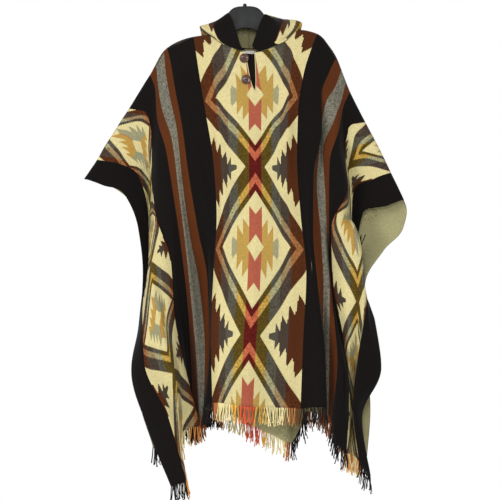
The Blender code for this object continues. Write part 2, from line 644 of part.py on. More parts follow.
def hanger(finish):
    """Flat arms under a hump, one moulding, cut from its outline and hung a little askew."""
    outline = list(HANGER_HALF)
    outline += [(-x, drop) for x, drop in HANGER_HALF[-2:0:-1]]
    curve = bpy.data.curves.new("hanger", "CURVE")
    curve.dimensions = "2D"
    curve.fill_mode = "BOTH"
    bevel = 0.002
    curve.extrude = HANGER_THICK / 2 - bevel
    curve.bevel_depth = bevel
    curve.bevel_resolution = 1
    curve.offset = -bevel
    spline = curve.splines.new("POLY")
    spline.points.add(len(outline) - 1)
    for point, (x, drop) in zip(spline.points, outline):
        point.co = (x + HANGER_MIDDLE, -drop, 0, 1)
    spline.use_cyclic_u = True
    flat = bpy.data.objects.new("hanger_outline", curve)
    part.objects.link(flat)
    upright = mathutils.Matrix.Rotation(math.pi / 2, 4, "X")
    flat.matrix_world = mathutils.Matrix.Rotation(-HANGER_TILT, 4, "Y") @ upright
    bpy.context.view_layer.update()
    seen = flat.evaluated_get(bpy.context.evaluated_depsgraph_get())
    mesh = bpy.data.meshes.new_from_object(seen)
    place = flat.matrix_world.copy()
    bpy.data.objects.remove(flat, do_unlink=True)
    bm = bmesh.new()
    bm.from_mesh(mesh)
    bmesh.ops.remove_doubles(bm, verts=bm.verts, dist=0.00005)
    bm.to_mesh(mesh)
    bm.free()
    mesh.materials.clear()
    made = add_object("hanger", mesh, finish)
    made.matrix_world = place


def hook(finish):
    """Wire bent over the rail: a round crook that comes back over its own stem."""
    centre = (0.0, WIRE_RADIUS - HOOK_RADIUS)
    crook = [math.radians(a) for a in range(-35, 196, 15)]
    route = [
        (centre[0] + HOOK_RADIUS * math.cos(a), centre[1] + HOOK_RADIUS * math.sin(a))
        for a in crook
    ]
    route += HOOK_STEM
    curve = bpy.data.curves.new("hanger_hook", "CURVE")
    curve.dimensions = "3D"
    curve.bevel_depth = WIRE_RADIUS
    curve.bevel_resolution = 2
    curve.use_fill_caps = True
    spline = curve.splines.new("POLY")
    spline.points.add(len(route) - 1)
    for point, (x, z) in zip(spline.points, route):
        point.co = (x, 0, z, 1)
    made = bpy.data.objects.new("hanger_hook", curve)
    curve.materials.append(finish)
    part.objects.link(made)


def ferrule(finish):
    """Small collar that the wire stands in, on top of the hump."""
    low = FERRULE_RADIUS
    profile = (
        (0, 0), (low * 0.6, 0), (low, -FERRULE_HEIGHT * 0.6), (low, -FERRULE_HEIGHT),
        (0, -FERRULE_HEIGHT),
    )
    thing = turned("hanger_ferrule", profile, 16)
    thing.data.materials.append(finish)
    thing.location = (HANGER_MIDDLE - FERRULE_ASIDE, 0, FERRULE_TOP)


blanket = material("blanket_cloth", (0.55, 0.46, 0.28), 0.95)
black_cloth = material("black_cloth", (0.012, 0.011, 0.010), 0.95)
strand_cloth = material("fringe_yarn", (0.50, 0.40, 0.22), 0.95)
coconut = material("coconut_shell", (0.10, 0.035, 0.018), 0.25)
white_tape = material("label_tape", (0.80, 0.79, 0.76), 0.80)
black_plastic = material("black_plastic", (0.020, 0.020, 0.022), 0.45)
bright_wire = material("steel_wire", (0.62, 0.62, 0.63), 0.28, 1.0)

cloth_front(blanket)
cloth_back(blanket)
hood(blanket)
underlap(black_cloth)
neck_label(white_tape)
buttons(coconut)
for label, drape, seed in (("front", FRONT, 11), ("back", BACK, 21)):
    fringe(f"fringe_{label}_left", drape, -0.613, -0.197, seed, strand_cloth)
    fringe(f"fringe_{label}_middle", drape, -0.195, 0.187, seed + 1, strand_cloth)
    fringe(f"fringe_{label}_right", drape, 0.189, 0.613, seed + 2, strand_cloth)
hanger(black_plastic)
hook(bright_wire)
ferrule(black_plastic)
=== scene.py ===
"""Dresses the hooded poncho: woven cloth, hood, fringe, buttons, label and hanger."""

import math
from collections import namedtuple

import bmesh
import bpy
import numpy as np
from mathutils import Matrix, Vector


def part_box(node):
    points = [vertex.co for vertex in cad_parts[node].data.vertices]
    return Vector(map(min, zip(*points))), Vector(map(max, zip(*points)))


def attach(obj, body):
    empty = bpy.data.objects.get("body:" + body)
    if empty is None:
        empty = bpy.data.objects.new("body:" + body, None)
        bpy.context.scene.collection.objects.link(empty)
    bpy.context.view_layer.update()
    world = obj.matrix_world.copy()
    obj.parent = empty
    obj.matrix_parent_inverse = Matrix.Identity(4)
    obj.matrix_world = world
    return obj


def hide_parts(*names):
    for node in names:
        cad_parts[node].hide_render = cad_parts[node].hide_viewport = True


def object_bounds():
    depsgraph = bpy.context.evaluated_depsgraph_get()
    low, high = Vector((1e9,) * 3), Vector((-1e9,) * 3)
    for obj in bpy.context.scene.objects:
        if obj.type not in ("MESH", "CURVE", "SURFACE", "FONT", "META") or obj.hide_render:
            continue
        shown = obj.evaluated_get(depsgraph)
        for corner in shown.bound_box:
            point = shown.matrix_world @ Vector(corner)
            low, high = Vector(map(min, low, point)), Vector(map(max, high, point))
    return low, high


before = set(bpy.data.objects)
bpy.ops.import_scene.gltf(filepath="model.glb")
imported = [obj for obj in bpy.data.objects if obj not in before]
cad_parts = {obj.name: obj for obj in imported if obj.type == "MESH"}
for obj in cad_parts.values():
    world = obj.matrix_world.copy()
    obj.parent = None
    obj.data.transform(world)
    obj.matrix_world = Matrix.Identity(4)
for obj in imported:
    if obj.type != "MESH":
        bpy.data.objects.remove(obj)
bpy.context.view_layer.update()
MM = 0.001


# Camera. It stands level and straight in front of the poncho, far enough back with a
# long lens that the hanging cloth keeps the outline it would have on a measuring wall.
VIEW_WIDTH = 1.300
VIEW_MIDDLE = Vector((0.0, -0.035, -0.697))
LENS = 320.0
SENSOR = 36.0

lens = bpy.data.cameras.new("front_camera")
lens.lens = LENS
lens.sensor_width = SENSOR
camera = bpy.data.objects.new("front_camera", lens)
camera.location = VIEW_MIDDLE - Vector((0, VIEW_WIDTH * LENS / SENSOR, 0))
camera.rotation_euler = (math.pi / 2, 0, 0)
bpy.context.scene.collection.objects.link(camera)
bpy.context.scene.camera = camera


# Blanket cloth. The poncho is one oblong of brushed wool, woven in stripes and three
# figured panels, folded over the shoulders with a scooped hole for the neck. It hangs in
# folds: the guide rows are lines of the cloth, each with its way from shoulder to hem.
CLOTH_LENGTH = 1.000
CLOTH_HALF = 0.614
CLOTH_WALL = 0.002
SHOULDER_ROUND = 0.007
SHOULDER_PARTING = 0.0002
NECK_HALF = 0.105
NECK_FLAT = 0.070
FRONT_SCOOP = 0.078
BACK_SCOOP = 0.050
STEEPEST_LEAN = 0.03
FOLD_GROWS = 0.5

# Each row is a line of the cloth from shoulder to hem. cloth is its distance from the
# panel's centre, drop_top and drop_hem are its ends below the hook, across is its place
# left and right, and proud its distance in front of the hanger, at these parts of the
# way down. All are in millimetres.
WAY_DOWN = (0.0, 0.05, 0.12, 0.22, 0.35, 0.50, 0.65, 0.82, 1.0)
Guide = namedtuple("Guide", "cloth drop_top drop_hem across proud")

FRONT_GUIDES = (
    Guide(-614, 512, 1310, (-432, -386, -326, -292, -280, -290, -308, -266, -205),
          (0, -6, -16, -26, -42, -30, 36, 60, 58)),
    Guide(-585, 487, 1304, (-415, -364, -306, -276, -268, -284, -294, -240, -186),
          (0, -6, -20, -36, -50, -16, 46, 72, 66)),
    Guide(-555, 462, 1295, (-398, -344, -290, -268, -264, -279, -275, -212, -166),
          (0, -6, -22, -44, -56, 2, 52, 72, 62)),
    Guide(-520, 428, 1262, (-379, -330, -284, -266, -264, -268, -252, -200, -170),
          (0, -4, -22, -50, -48, 24, 50, 56, 42)),
    Guide(-480, 391, 1215, (-355, -310, -274, -260, -260, -254, -232, -190, -180),
          (0, -2, -16, -46, -24, 42, 48, 42, 28)),
    Guide(-440, 356, 1172, (-333, -286, -266, -257, -252, -233, -218, -184, -176),
          (0, 0, -8, -34, 10, 36, 34, 4, -6)),
    Guide(-404, 329, 1157, (-315, -268, -256, -255, -246, -206, -198, -170, -130),
          (0, 2, -2, -16, 26, 34, 26, -2, -10)),
    Guide(-360, 285, 1160, (-288, -256, -250, -240, -220, -196, -182, -167, -154),
          (0, 5, 4, 24, 36, 30, 0, -38, -56)),
    Guide(-318, 242, 1160, (-261, -246, -242, -218, -198, -178, -163, -154, -149),
          (0, 8, 16, 38, 40, 26, -8, -54, -74)),
    Guide(-286, 218, 1150, (-244, -240, -230, -202, -186, -168, -154, -140, -132),
          (0, 11, 28, 42, 40, 24, -6, -36, -46)),
    Guide(-248, 183, 1135, (-224, -220, -210, -190, -177, -158, -132, -118, -121),
          (0, 14, 32, 44, 40, 22, -10, -26, -24)),
    Guide(-216, 172, 1118, (-217, -206, -195, -177, -160, -136, -110, -104, -122),
          (0, 16, 34, 44, 40, 26, -12, -14, 0)),
    Guide(-175, 158, 1100, (-184, -176, -166, -150, -128, -112, -103, -104, -112),
          (0, 18, 36, 42, 38, 30, 14, 20, 26)),
    Guide(-135, 142, 1095, (-148, -141, -131, -115, -95, -86, -94, -101, -97),
          (0, 20, 34, 40, 40, 38, 36, 38, 40)),
    Guide(-105, 138, 1094, (-112, -107, -101, -90, -78, -72, -76, -84, -82),
          (3, 26, 40, 50, 54, 54, 52, 54, 56)),
    Guide(-70, 162, 1096, (-70, -64, -58, -56, -54, -52, -54, -62, -64),
          (32, 42, 50, 58, 62, 62, 62, 66, 68)),
    Guide(0, 184, 1102, (5, 9, 13, 13, 14, 15, 10, -1, -8),
          (50, 54, 58, 64, 72, 76, 78, 82, 84)),
    Guide(70, 158, 1106, (87, 84, 81, 77, 75, 79, 78, 70, 60),
          (32, 42, 52, 58, 60, 62, 62, 64, 66)),
    Guide(105, 124, 1107, (132, 120, 110, 103, 99, 106, 112, 104, 96),
          (3, 26, 40, 48, 50, 50, 54, 58, 62)),
    Guide(135, 135, 1108, (177, 160, 140, 125, 122, 132, 146, 138, 131),
          (0, 20, 34, 38, 38, 40, 46, 50, 56)),
    Guide(170, 158, 1105, (200, 184, 166, 154, 142, 148, 160, 164, 166),
          (0, 18, 38, 44, 44, 44, 48, 52, 60)),
    Guide(206, 190, 1104, (220, 201, 184, 186, 162, 159, 170, 192, 199),
          (0, 16, 36, 46, 48, 46, 44, 50, 58)),
    Guide(230, 212, 1107, (231, 213, 187, 182, 167, 170, 182, 187, 190),
          (0, 14, 32, 18, 34, 36, 38, 22, 28)),
    Guide(262, 242, 1118, (243, 232, 204, 184, 180, 194, 197, 192, 191),
          (0, 12, 32, 14, 30, 26, 34, 6, 2)),
    Guide(290, 266, 1128, (251, 240, 222, 192, 198, 202, 208, 210, 206),
          (0, 10, 34, 30, 32, 8, 34, 20, 4)),
    Guide(318, 287, 1145, (261, 243, 231, 208, 206, 206, 216, 228, 212),
          (0, 8, 26, 40, 36, 2, 22, 40, 34)),
    Guide(360, 325, 1190, (280, 250, 240, 238, 212, 211, 226, 246, 222),
          (0, 4, 4, 44, 26, -6, 18, 52, 60)),
    Guide(404, 364, 1225, (300, 256, 247, 254, 212, 216, 241, 257, 250),
          (0, 0, -12, 14, 30, 18, 20, 10, 52)),
    Guide(440, 398, 1228, (318, 270, 252, 256, 237, 244, 256, 259, 257),
          (0, -2, -22, -16, 46, 42, 34, 0, 32)),
    Guide(480, 432, 1230, (336, 286, 256, 260, 270, 280, 277, 269, 263),
          (0, -4, -26, -38, 50, 54, 40, -12, 2)),
    Guide(520, 466, 1236, (353, 305, 264, 262, 288, 297, 287, 273, 274),
          (0, -6, -28, -46, 26, 50, 46, 12, -4)),
    Guide(555, 496, 1246, (367, 322, 272, 266, 284, 302, 283, 268, 284),
          (0, -6, -30, -54, -34, 44, 62, 42, 12)),
    Guide(585, 530, 1266, (384, 340, 282, 274, 280, 312, 308, 276, 299),
          (0, -6, -30, -58, -46, 40, 70, 48, 26)),
    Guide(614, 566, 1284, (401, 356, 294, 282, 284, 324, 340, 291, 313),
          (0, -6, -28, -60, -60, 28, 60, 30, 38)),
)

BACK_GUIDES = (
    Guide(-614, 512, 1212, (-432, -388, -333, -280, -262, -270, -288, -290, -254),
          (0, -20, -40, -58, -70, -60, -56, -56, -50)),
    Guide(-555, 462, 1220, (-398, -358, -308, -262, -244, -248, -262, -262, -224),
          (0, -20, -44, -68, -88, -82, -78, -80, -74)),
    Guide(-480, 391, 1190, (-355, -316, -268, -238, -222, -222, -230, -232, -200),
          (0, -22, -50, -78, -94, -94, -96, -100, -100)),
    Guide(-404, 329, 1162, (-315, -280, -240, -214, -198, -194, -198, -198, -176),
          (0, -22, -46, -66, -78, -80, -82, -84, -84)),
    Guide(-318, 242, 1138, (-261, -240, -212, -190, -174, -166, -166, -164, -150),
          (0, -22, -42, -58, -74, -86, -96, -104, -108)),
    Guide(-216, 172, 1122, (-217, -206, -190, -172, -156, -146, -140, -134, -122),
          (0, -22, -36, -44, -52, -58, -64, -68, -70)),
    Guide(-135, 142, 1120, (-148, -141, -132, -122, -112, -104, -98, -92, -84),
          (0, -28, -46, -60, -72, -82, -90, -96, -100)),
    Guide(-105, 138, 1124, (-112, -108, -102, -94, -86, -80, -74, -70, -66),
          (-3, -34, -52, -64, -74, -82, -88, -92, -94)),
    Guide(-70, 158, 1134, (-72, -68, -64, -58, -52, -48, -44, -42, -40),
          (-28, -44, -56, -62, -66, -68, -70, -72, -74)),
    Guide(0, 172, 1158, (-3, -1, 2, 4, 4, 6, 8, 8, 8),
          (-44, -54, -64, -72, -80, -86, -92, -96, -100)),
    Guide(70, 156, 1184, (84, 80, 74, 68, 62, 58, 58, 60, 62),
          (-28, -44, -56, -62, -64, -64, -66, -68, -66)),
    Guide(105, 124, 1200, (132, 122, 112, 102, 92, 86, 86, 90, 92),
          (-3, -34, -52, -64, -72, -76, -78, -76, -70)),
    Guide(135, 135, 1204, (177, 160, 142, 126, 116, 110, 110, 112, 108),
          (0, -26, -46, -62, -74, -84, -92, -96, -92)),
    Guide(180, 166, 1152, (206, 186, 168, 150, 136, 128, 128, 134, 138),
          (0, -24, -42, -54, -60, -64, -68, -72, -72)),
    Guide(216, 196, 1120, (225, 208, 190, 172, 158, 150, 150, 156, 150),
          (0, -22, -38, -46, -52, -58, -64, -72, -80)),
    Guide(262, 242, 1124, (243, 228, 208, 190, 176, 170, 172, 182, 186),
          (0, -22, -42, -56, -66, -74, -80, -88, -94)),
    Guide(318, 287, 1144, (261, 246, 226, 206, 194, 190, 194, 206, 212),
          (0, -22, -44, -62, -78, -90, -98, -104, -104)),
    Guide(404, 364, 1186, (300, 278, 252, 232, 222, 222, 226, 236, 236),
          (0, -20, -44, -62, -72, -78, -80, -82, -82)),
    Guide(480, 432, 1206, (336, 318, 296, 272, 254, 252, 258, 266, 264),
          (0, -20, -46, -70, -90, -98, -100, -98, -96)),
    Guide(555, 496, 1228, (367, 364, 350, 312, 280, 276, 284, 292, 292),
          (0, -18, -44, -72, -88, -84, -78, -72, -74)),
    Guide(614, 566, 1240, (399, 409, 400, 350, 302, 296, 306, 315, 306),
          (0, -12, -36, -60, -66, -58, -54, -52, -54)),
)


# Softer folds between the guide rows. cloth is a fold's middle, half its width, depth how
# far it stands out of the panel, and start the way down at which it begins.
Fold = namedtuple("Fold", "cloth half depth start")
BACK_FOLDS = (
    Fold(-525, 42, 30, 0.16),
    Fold(-425, 46, -25, 0.24),
    Fold(-356, 44, 16, 0.12),
    Fold(-262, 44, -23, 0.20),
    Fold(-176, 46, 34, 0.10),
    Fold(-60, 52, 25, 0.30),
    Fold(30, 44, -18, 0.42),
    Fold(160, 40, 32, 0.18),
    Fold(238, 38, -25, 0.14),
    Fold(334, 50, 16, 0.10),
    Fold(428, 44, -28, 0.22),
    Fold(518, 42, 30, 0.26),
)
FRONT_FOLDS = (
    Fold(-560, 26, 6, 0.20),
    Fold(-478, 28, 8, 0.20),
    Fold(-400, 30, -9, 0.10),
    Fold(-322, 26, -9, 0.10),
    Fold(-280, 24, 8, 0.10),
    Fold(-236, 22, -7, 0.12),
    Fold(186, 26, 8, 0.10),
    Fold(250, 28, -9, 0.10),
    Fold(336, 26, 9, 0.10),
    Fold(440, 26, 8, 0.15),
    Fold(488, 26, -8, 0.20),
    Fold(560, 26, 8, 0.20),
)


# Small creases that wear and storage left. cloth and fall are a crease's middle, reach
# half its length and breadth half its width, lean its turn from upright, rise its height.
Crease = namedtuple("Crease", "cloth fall reach breadth lean rise")
FRONT_CREASES = (
    Crease(4, 0.84, 150, 5, 88, 1.6), Crease(-30, 0.86, 110, 9, 93, -1.2),
    Crease(78, 0.300, 60, 13, 24, 5.0), Crease(52, 0.262, 46, 12, 52, -3.6),
    Crease(-96, 0.34, 120, 14, 6, 2.2), Crease(-58, 0.60, 170, 18, -5, -1.8),
    Crease(60, 0.66, 160, 16, 4, 1.9), Crease(100, 0.48, 120, 15, -8, -2.0),
    Crease(-176, 0.45, 210, 13, 3, 2.6), Crease(-190, 0.80, 150, 12, -4, -2.4),
    Crease(176, 0.30, 130, 13, 5, 2.4), Crease(184, 0.72, 160, 14, -3, -2.2),
    Crease(-300, 0.36, 120, 11, 8, 2.2), Crease(-352, 0.60, 150, 15, -4, -2.6),
    Crease(-430, 0.20, 90, 14, 30, 3.2), Crease(-470, 0.33, 80, 13, 42, -3.0),
    Crease(-505, 0.12, 70, 12, 62, 2.6), Crease(-470, 0.66, 120, 16, -10, 2.8),
    Crease(-585, 0.26, 90, 12, 12, -2.4), Crease(-590, 0.72, 110, 14, -6, 2.4),
    Crease(330, 0.26, 110, 12, 10, 2.4), Crease(372, 0.52, 140, 14, -6, -2.8),
    Crease(452, 0.16, 80, 13, -40, 3.0), Crease(470, 0.46, 90, 14, 18, -2.8),
    Crease(500, 0.60, 110, 15, -8, 3.0), Crease(588, 0.50, 100, 13, 14, -2.6),
    Crease(590, 0.76, 110, 13, -12, 2.8), Crease(-20, 0.20, 60, 10, 70, -1.2),
)
BACK_CREASES = (
    Crease(0, 0.83, 160, 6, 90, 1.6), Crease(-40, 0.30, 130, 16, 8, 2.6),
    Crease(52, 0.46, 160, 18, -6, -2.4), Crease(-112, 0.62, 170, 15, 4, 2.4),
    Crease(118, 0.24, 110, 14, 12, 2.6), Crease(-210, 0.42, 170, 15, -5, -2.6),
    Crease(204, 0.66, 170, 15, 6, 2.4), Crease(-300, 0.30, 120, 13, 9, 2.8),
    Crease(292, 0.44, 150, 14, -8, -2.6), Crease(-392, 0.58, 150, 16, 5, 2.8),
    Crease(380, 0.28, 120, 14, 14, 2.8), Crease(-470, 0.22, 90, 15, 34, 3.0),
    Crease(462, 0.60, 130, 15, -9, 2.6), Crease(-560, 0.40, 110, 13, 12, -2.6),
    Crease(548, 0.36, 110, 13, -14, 2.8), Crease(-540, 0.74, 120, 14, -8, 2.4),
    Crease(560, 0.80, 110, 14, 10, -2.4),
)
PRESSED_RIDGE = 2.4
PRESSED_HALF = 9.0
PRESSED_START, PRESSED_GROWS = 0.10, 0.25


def smooth_between(knots, values, wanted):
    """Curves through rows of values without overshoot: crests and valleys are round."""
    step = np.diff(knots)
    rise = np.diff(values, axis=0) / step[:, None]
    slope = np.zeros_like(values)
    slope[0], slope[-1] = rise[0], rise[-1]
    before, after = rise[:-1], rise[1:]
    weight_a = (2 * step[1:] + step[:-1])[:, None]
    weight_b = (step[1:] + 2 * step[:-1])[:, None]
    same_way = before * after > 0
    mean = (weight_a + weight_b) / (
        weight_a / np.where(same_way, before, 1) + weight_b / np.where(same_way, after, 1)
    )
    slope[1:-1] = np.where(same_way, mean, 0.0)
    at = np.clip(np.searchsorted(knots, wanted, side="right") - 1, 0, len(knots) - 2)
    part = ((wanted - knots[at]) / step[at])[:, None]
    width = step[at][:, None]
    return (
        values[at] * (1 + 2 * part) * (1 - part) ** 2
        + slope[at] * width * part * (1 - part) ** 2
        + values[at + 1] * part**2 * (3 - 2 * part)
        + slope[at + 1] * width * part**2 * (part - 1)
    )


class Drape:
    """One half of the poncho: turns a place on the cloth into a place in the room."""

    FINE = 400

    def __init__(self, guides, scoop, facing, folds=()):
        self.facing = facing
        self.scoop = scoop
        self.folds = folds
        self.cloth = np.array([g.cloth for g in guides]) * MM
        self.ends = np.array([(g.drop_top, g.drop_hem) for g in guides]) * MM
        self.across = np.array([g.across for g in guides]) * MM
        self.proud = np.array([g.proud for g in guides]) * MM

    def neck_cut(self, cloth):
        """Length of cloth cut away above the neckline."""
        inside = np.clip(1 - (cloth / NECK_HALF) ** 2, 0, 1)
        return self.scoop * inside**0.5

    def lines(self, cloth):
        """For each distance from the centre, the fine line from shoulder to hem."""
        ends = smooth_between(self.cloth, self.ends, cloth)
        fall = np.linspace(0, 1, self.FINE + 1)
        way = np.array(WAY_DOWN)
        across = smooth_between(way, smooth_between(self.cloth, self.across, cloth).T, fall)
        proud = smooth_between(way, smooth_between(self.cloth, self.proud, cloth).T, fall)
        length = CLOTH_LENGTH - self.neck_cut(cloth)
        travelled = fall[:, None] * length
        turn = np.minimum(travelled / SHOULDER_ROUND, math.pi / 2)
        over_hanger = np.clip((np.abs(cloth) - NECK_FLAT) / (NECK_HALF - NECK_FLAT), 0, 1)
        proud = proud + self.facing * SHOULDER_ROUND * np.sin(turn) * over_hanger
        proud = proud + self.facing * SHOULDER_PARTING
        for fold in self.folds:
            near = np.clip(np.abs(cloth * 1000 - fold.cloth) / fold.half, 0, 1)
            grown = np.clip((fall - fold.start) / FOLD_GROWS, 0, 1)
            rise = (grown**2 * (3 - 2 * grown))[:, None] * (1 - near**2) ** 2
            proud = proud + self.facing * fold.depth * MM * rise
        run = length / self.FINE
        sideways = np.diff(across, axis=0) / run
        forwards = np.diff(proud, axis=0) / run
        sink = np.sqrt(np.maximum(STEEPEST_LEAN, 1 - sideways**2 - forwards**2)) * run
        drop = np.vstack([np.zeros(len(cloth)), np.cumsum(sink, axis=0)])
        drop = ends[:, 0] + drop / drop[-1] * (ends[:, 1] - ends[:, 0])
        return np.stack([across, -proud, -drop], axis=2)

    def grid(self, cloth, fall):
        """Points of the sheet, first along the cloth's width, then down its length."""
        lines = self.lines(np.asarray(cloth, dtype=float))
        at = np.asarray(fall) * self.FINE
        low = np.minimum(at.astype(int), self.FINE - 1)
        part = (at - low)[:, None, None]
        return (lines[low] * (1 - part) + lines[low + 1] * part).transpose(1, 0, 2)


class Socket:
    """A shader value that works in sums, so that 1 - mask adds its Math node."""

    def __init__(self, tree, socket=None):
        self.tree = tree
        self.socket = socket

    def node(self, kind, inputs, out=0, stops=(), **settings):
        """Any node: its settings and a ramp's stops first, then its sockets."""
        made = self.tree.nodes.new(kind)
        for name, value in settings.items():
            setattr(made, name, value)
        if stops:
            ramp = made.color_ramp
            ramp.interpolation = "CONSTANT" if isinstance(stops[0][1], tuple) else "LINEAR"
            ramp.elements.remove(ramp.elements[-1])
            for number, (place, colour) in enumerate(stops):
                colour = colour if isinstance(colour, tuple) else (colour,) * 3
                point = ramp.elements[0] if number == 0 else ramp.elements.new(place)
                point.position = place
                point.color = (*colour, 1.0)
        for place, value in inputs.items():
            if isinstance(value, Socket):
                self.tree.links.new(value.socket, made.inputs[place])
            else:
                made.inputs[place].default_value = value
        return Socket(self.tree, made.outputs[out])

    def plain(self, colour):
        """One even colour."""
        made = self.node("ShaderNodeRGB", {})
        made.socket.default_value = (*colour, 1.0)
        return made

    def place(self):
        """Where a point lies on the object."""
        return self.node("ShaderNodeTexCoord", {}, out=3)

    def noise(self, place, scale, detail=2.0, rough=0.5):
        inputs = {"Vector": place, "Scale": scale, "Detail": detail, "Roughness": rough}
        return self.node("ShaderNodeTexNoise", inputs)

    def maths(self, operation, *others):
        return self.node("ShaderNodeMath", dict(enumerate((self, *others))), operation=operation)

    def mix(self, mask, other):
        """This colour, with the other one laid over it where the mask is 1."""
        sockets = {"Factor": mask, "A": self, "B": other}
        made = self.tree.nodes.new("ShaderNodeMix")
        made.data_type = "RGBA"
        for place, number in (("Factor", 0), ("A", 6), ("B", 7)):
            value = sockets[place]
            if isinstance(value, Socket):
                self.tree.links.new(value.socket, made.inputs[number])
            else:
                made.inputs[number].default_value = value if place == "Factor" else (*value, 1.0)
        return Socket(self.tree, made.outputs[2])

    def shade(self, amount):
        """This colour, lighter or darker by a number that varies around 1."""
        return self.node("ShaderNodeVectorMath", {0: self, 3: amount}, operation="SCALE")

    def __add__(self, other):
        return self.maths("ADD", other)

    __radd__ = __add__

    def __sub__(self, other):
        return self.maths("SUBTRACT", other)

    def __rsub__(self, other):
        return self.node("ShaderNodeMath", {0: other, 1: self}, operation="SUBTRACT")

    def __mul__(self, other):
        return self.maths("MULTIPLY", other)

    __rmul__ = __mul__

    def __truediv__(self, other):
        return self.maths("DIVIDE", other)

    def __lt__(self, other):
        return self.maths("LESS_THAN", other)

    def __gt__(self, other):
        return self.maths("GREATER_THAN", other)

    def __abs__(self):
        return self.maths("ABSOLUTE")


def dye(red, green, blue):
    """A dyed yarn's colour, from screen values up to 255."""
    return tuple(
        part / 12.92 if part <= 0.04045 else ((part + 0.055) / 1.055) ** 2.4
        for part in (red / 255, green / 255, blue / 255)
    )


# The blanket's yarns are written as bright as they look under strong light, and
# WOOL_DEPTH brings them down to what the lamps below need.
NAP_HEIGHT = 0.0012
WOOL_DEPTH = 0.56


def new_finish(name, roughness, sheen=0.0, gloss=0.5):
    """A material with its shader, and the first socket for sums on it."""
    made = bpy.data.materials.new(name)
    made.use_nodes = True
    shader = made.node_tree.nodes["Principled BSDF"]
    shader.inputs["Roughness"].default_value = roughness
    shader.inputs["Sheen Weight"].default_value = sheen
    shader.inputs["Specular IOR Level"].default_value = gloss
    return made, shader, Socket(made.node_tree)


def feed(shader, name, value):
    value.tree.links.new(value.socket, shader.inputs[name])


def raise_nap(graph, shader, strength, distance, height):
    """Turns a height into fine relief."""
    inputs = {"Strength": strength, "Distance": distance, "Height": height}
    feed(shader, "Normal", graph.node("ShaderNodeBump", inputs))


def wool_nap(graph, shader, strength):
    """Brushed wool's relief. Returns its three noises, which also vary its lightness."""
    place = graph.place()
    fibres = graph.noise(place, 520.0, 3.0, 0.65)
    tufts = graph.noise(place, 210.0, 2.0, 0.6)
    worn = graph.noise(place, 9.0, 3.0, 0.5)
    raise_nap(graph, shader, strength, NAP_HEIGHT, fibres * 0.6 + tufts * 0.4)
    return fibres, tufts, worn


# The figure. It is charted in picks of 2.6 mm from a diamond's centre: slant grows from
# there to the band's outer edge, and rest is the height left before bands cross. The warp
# changes colour in upright stripes, so a shape takes the yarn of the column it is in.
PICK = 0.0026
CENTRE_EDGE = 0.135
SIDE_START = 0.404
SIDE_MIDDLE = 0.480
SIDE_END = 0.555
SIDE_NARROW = 0.684
SIDE_YARN_SHIFT = 7.0
SIDE_YARN_STEP = 1.3
CENTRE_TALL = 83.0
SIDE_TALL = 92.0
SIDE_STAR_SHIFT = 3.0
SLOPE = 1.513
INSIDE_EDGE, THIN_EDGE, MIDDLE_EDGE, BAND_EDGE = 58.0, 66.5, 76.5, 98.0
WIDEST = 60.0
SQUARE_WIDE, SQUARE_TALL = 8.5, 13.0

CREAM = dye(224, 210, 152)
BLACK = dye(17, 13, 11)
RUST = dye(92, 46, 17)
HEATHER = dye(118, 114, 100)
KHAKI = dye(182, 176, 130)
Stripe = namedtuple("Stripe", "start yarn")
STRIPES = (
    Stripe(0, CREAM), Stripe(135, BLACK), Stripe(216, RUST), Stripe(248, HEATHER),
    Stripe(286, RUST), Stripe(318, BLACK), Stripe(404, CREAM), Stripe(555, BLACK),
)
DARK_YARNS = (
    Stripe(0, dye(92, 20, 14)), Stripe(6.3, dye(88, 70, 20)), Stripe(17.5, dye(84, 80, 67)),
    Stripe(27, dye(72, 60, 50)), Stripe(38.5, dye(82, 41, 15)),
)
LIGHT_YARNS = (
    Stripe(0, dye(190, 99, 68)), Stripe(6.3, dye(194, 156, 72)), Stripe(16, dye(166, 160, 118)),
    Stripe(27, dye(152, 128, 90)), Stripe(38.5, dye(158, 104, 60)),
)
FLOWER_YARNS = (
    Stripe(0, dye(176, 92, 70)), Stripe(6.6, dye(188, 152, 76)), Stripe(18.4, dye(162, 158, 120)),
)
SAGE = dye(158, 154, 118)
GOLD = dye(190, 150, 72)

# Outlines across the picks: at each column, how tall the flower is from the diamond's
# centre, and the star from the crossing.
Edge = namedtuple("Edge", "column height")
FLOWER = (
    Edge(0, 34), Edge(6.3, 42), Edge(6.5, 20), Edge(12.3, 29), Edge(12.5, 12), Edge(18.2, 22),
    Edge(18.4, 6), Edge(24.0, 12), Edge(24.2, 0), Edge(59, 0),
)
STAR = (
    Edge(18.0, 0), Edge(18.6, 2.4), Edge(24.2, 4.2), Edge(24.6, 13), Edge(29.2, 5.5),
    Edge(30.6, 20.5), Edge(36.6, 11), Edge(38.2, 30), Edge(43.6, 20), Edge(45.6, 40),
    Edge(52.0, 31), Edge(59, 31),
)


def across_ramp(graph, value, stripes, widest):
    stops = tuple((stripe.start / widest, stripe.yarn) for stripe in stripes)
    return graph.node("ShaderNodeValToRGB", {0: value / widest}, stops=stops)


def outline_at(graph, column, edges):
    stops = tuple((edge.column / WIDEST, edge.height / WIDEST) for edge in edges)
    return graph.node("ShaderNodeValToRGB", {0: column / WIDEST}, stops=stops) * WIDEST


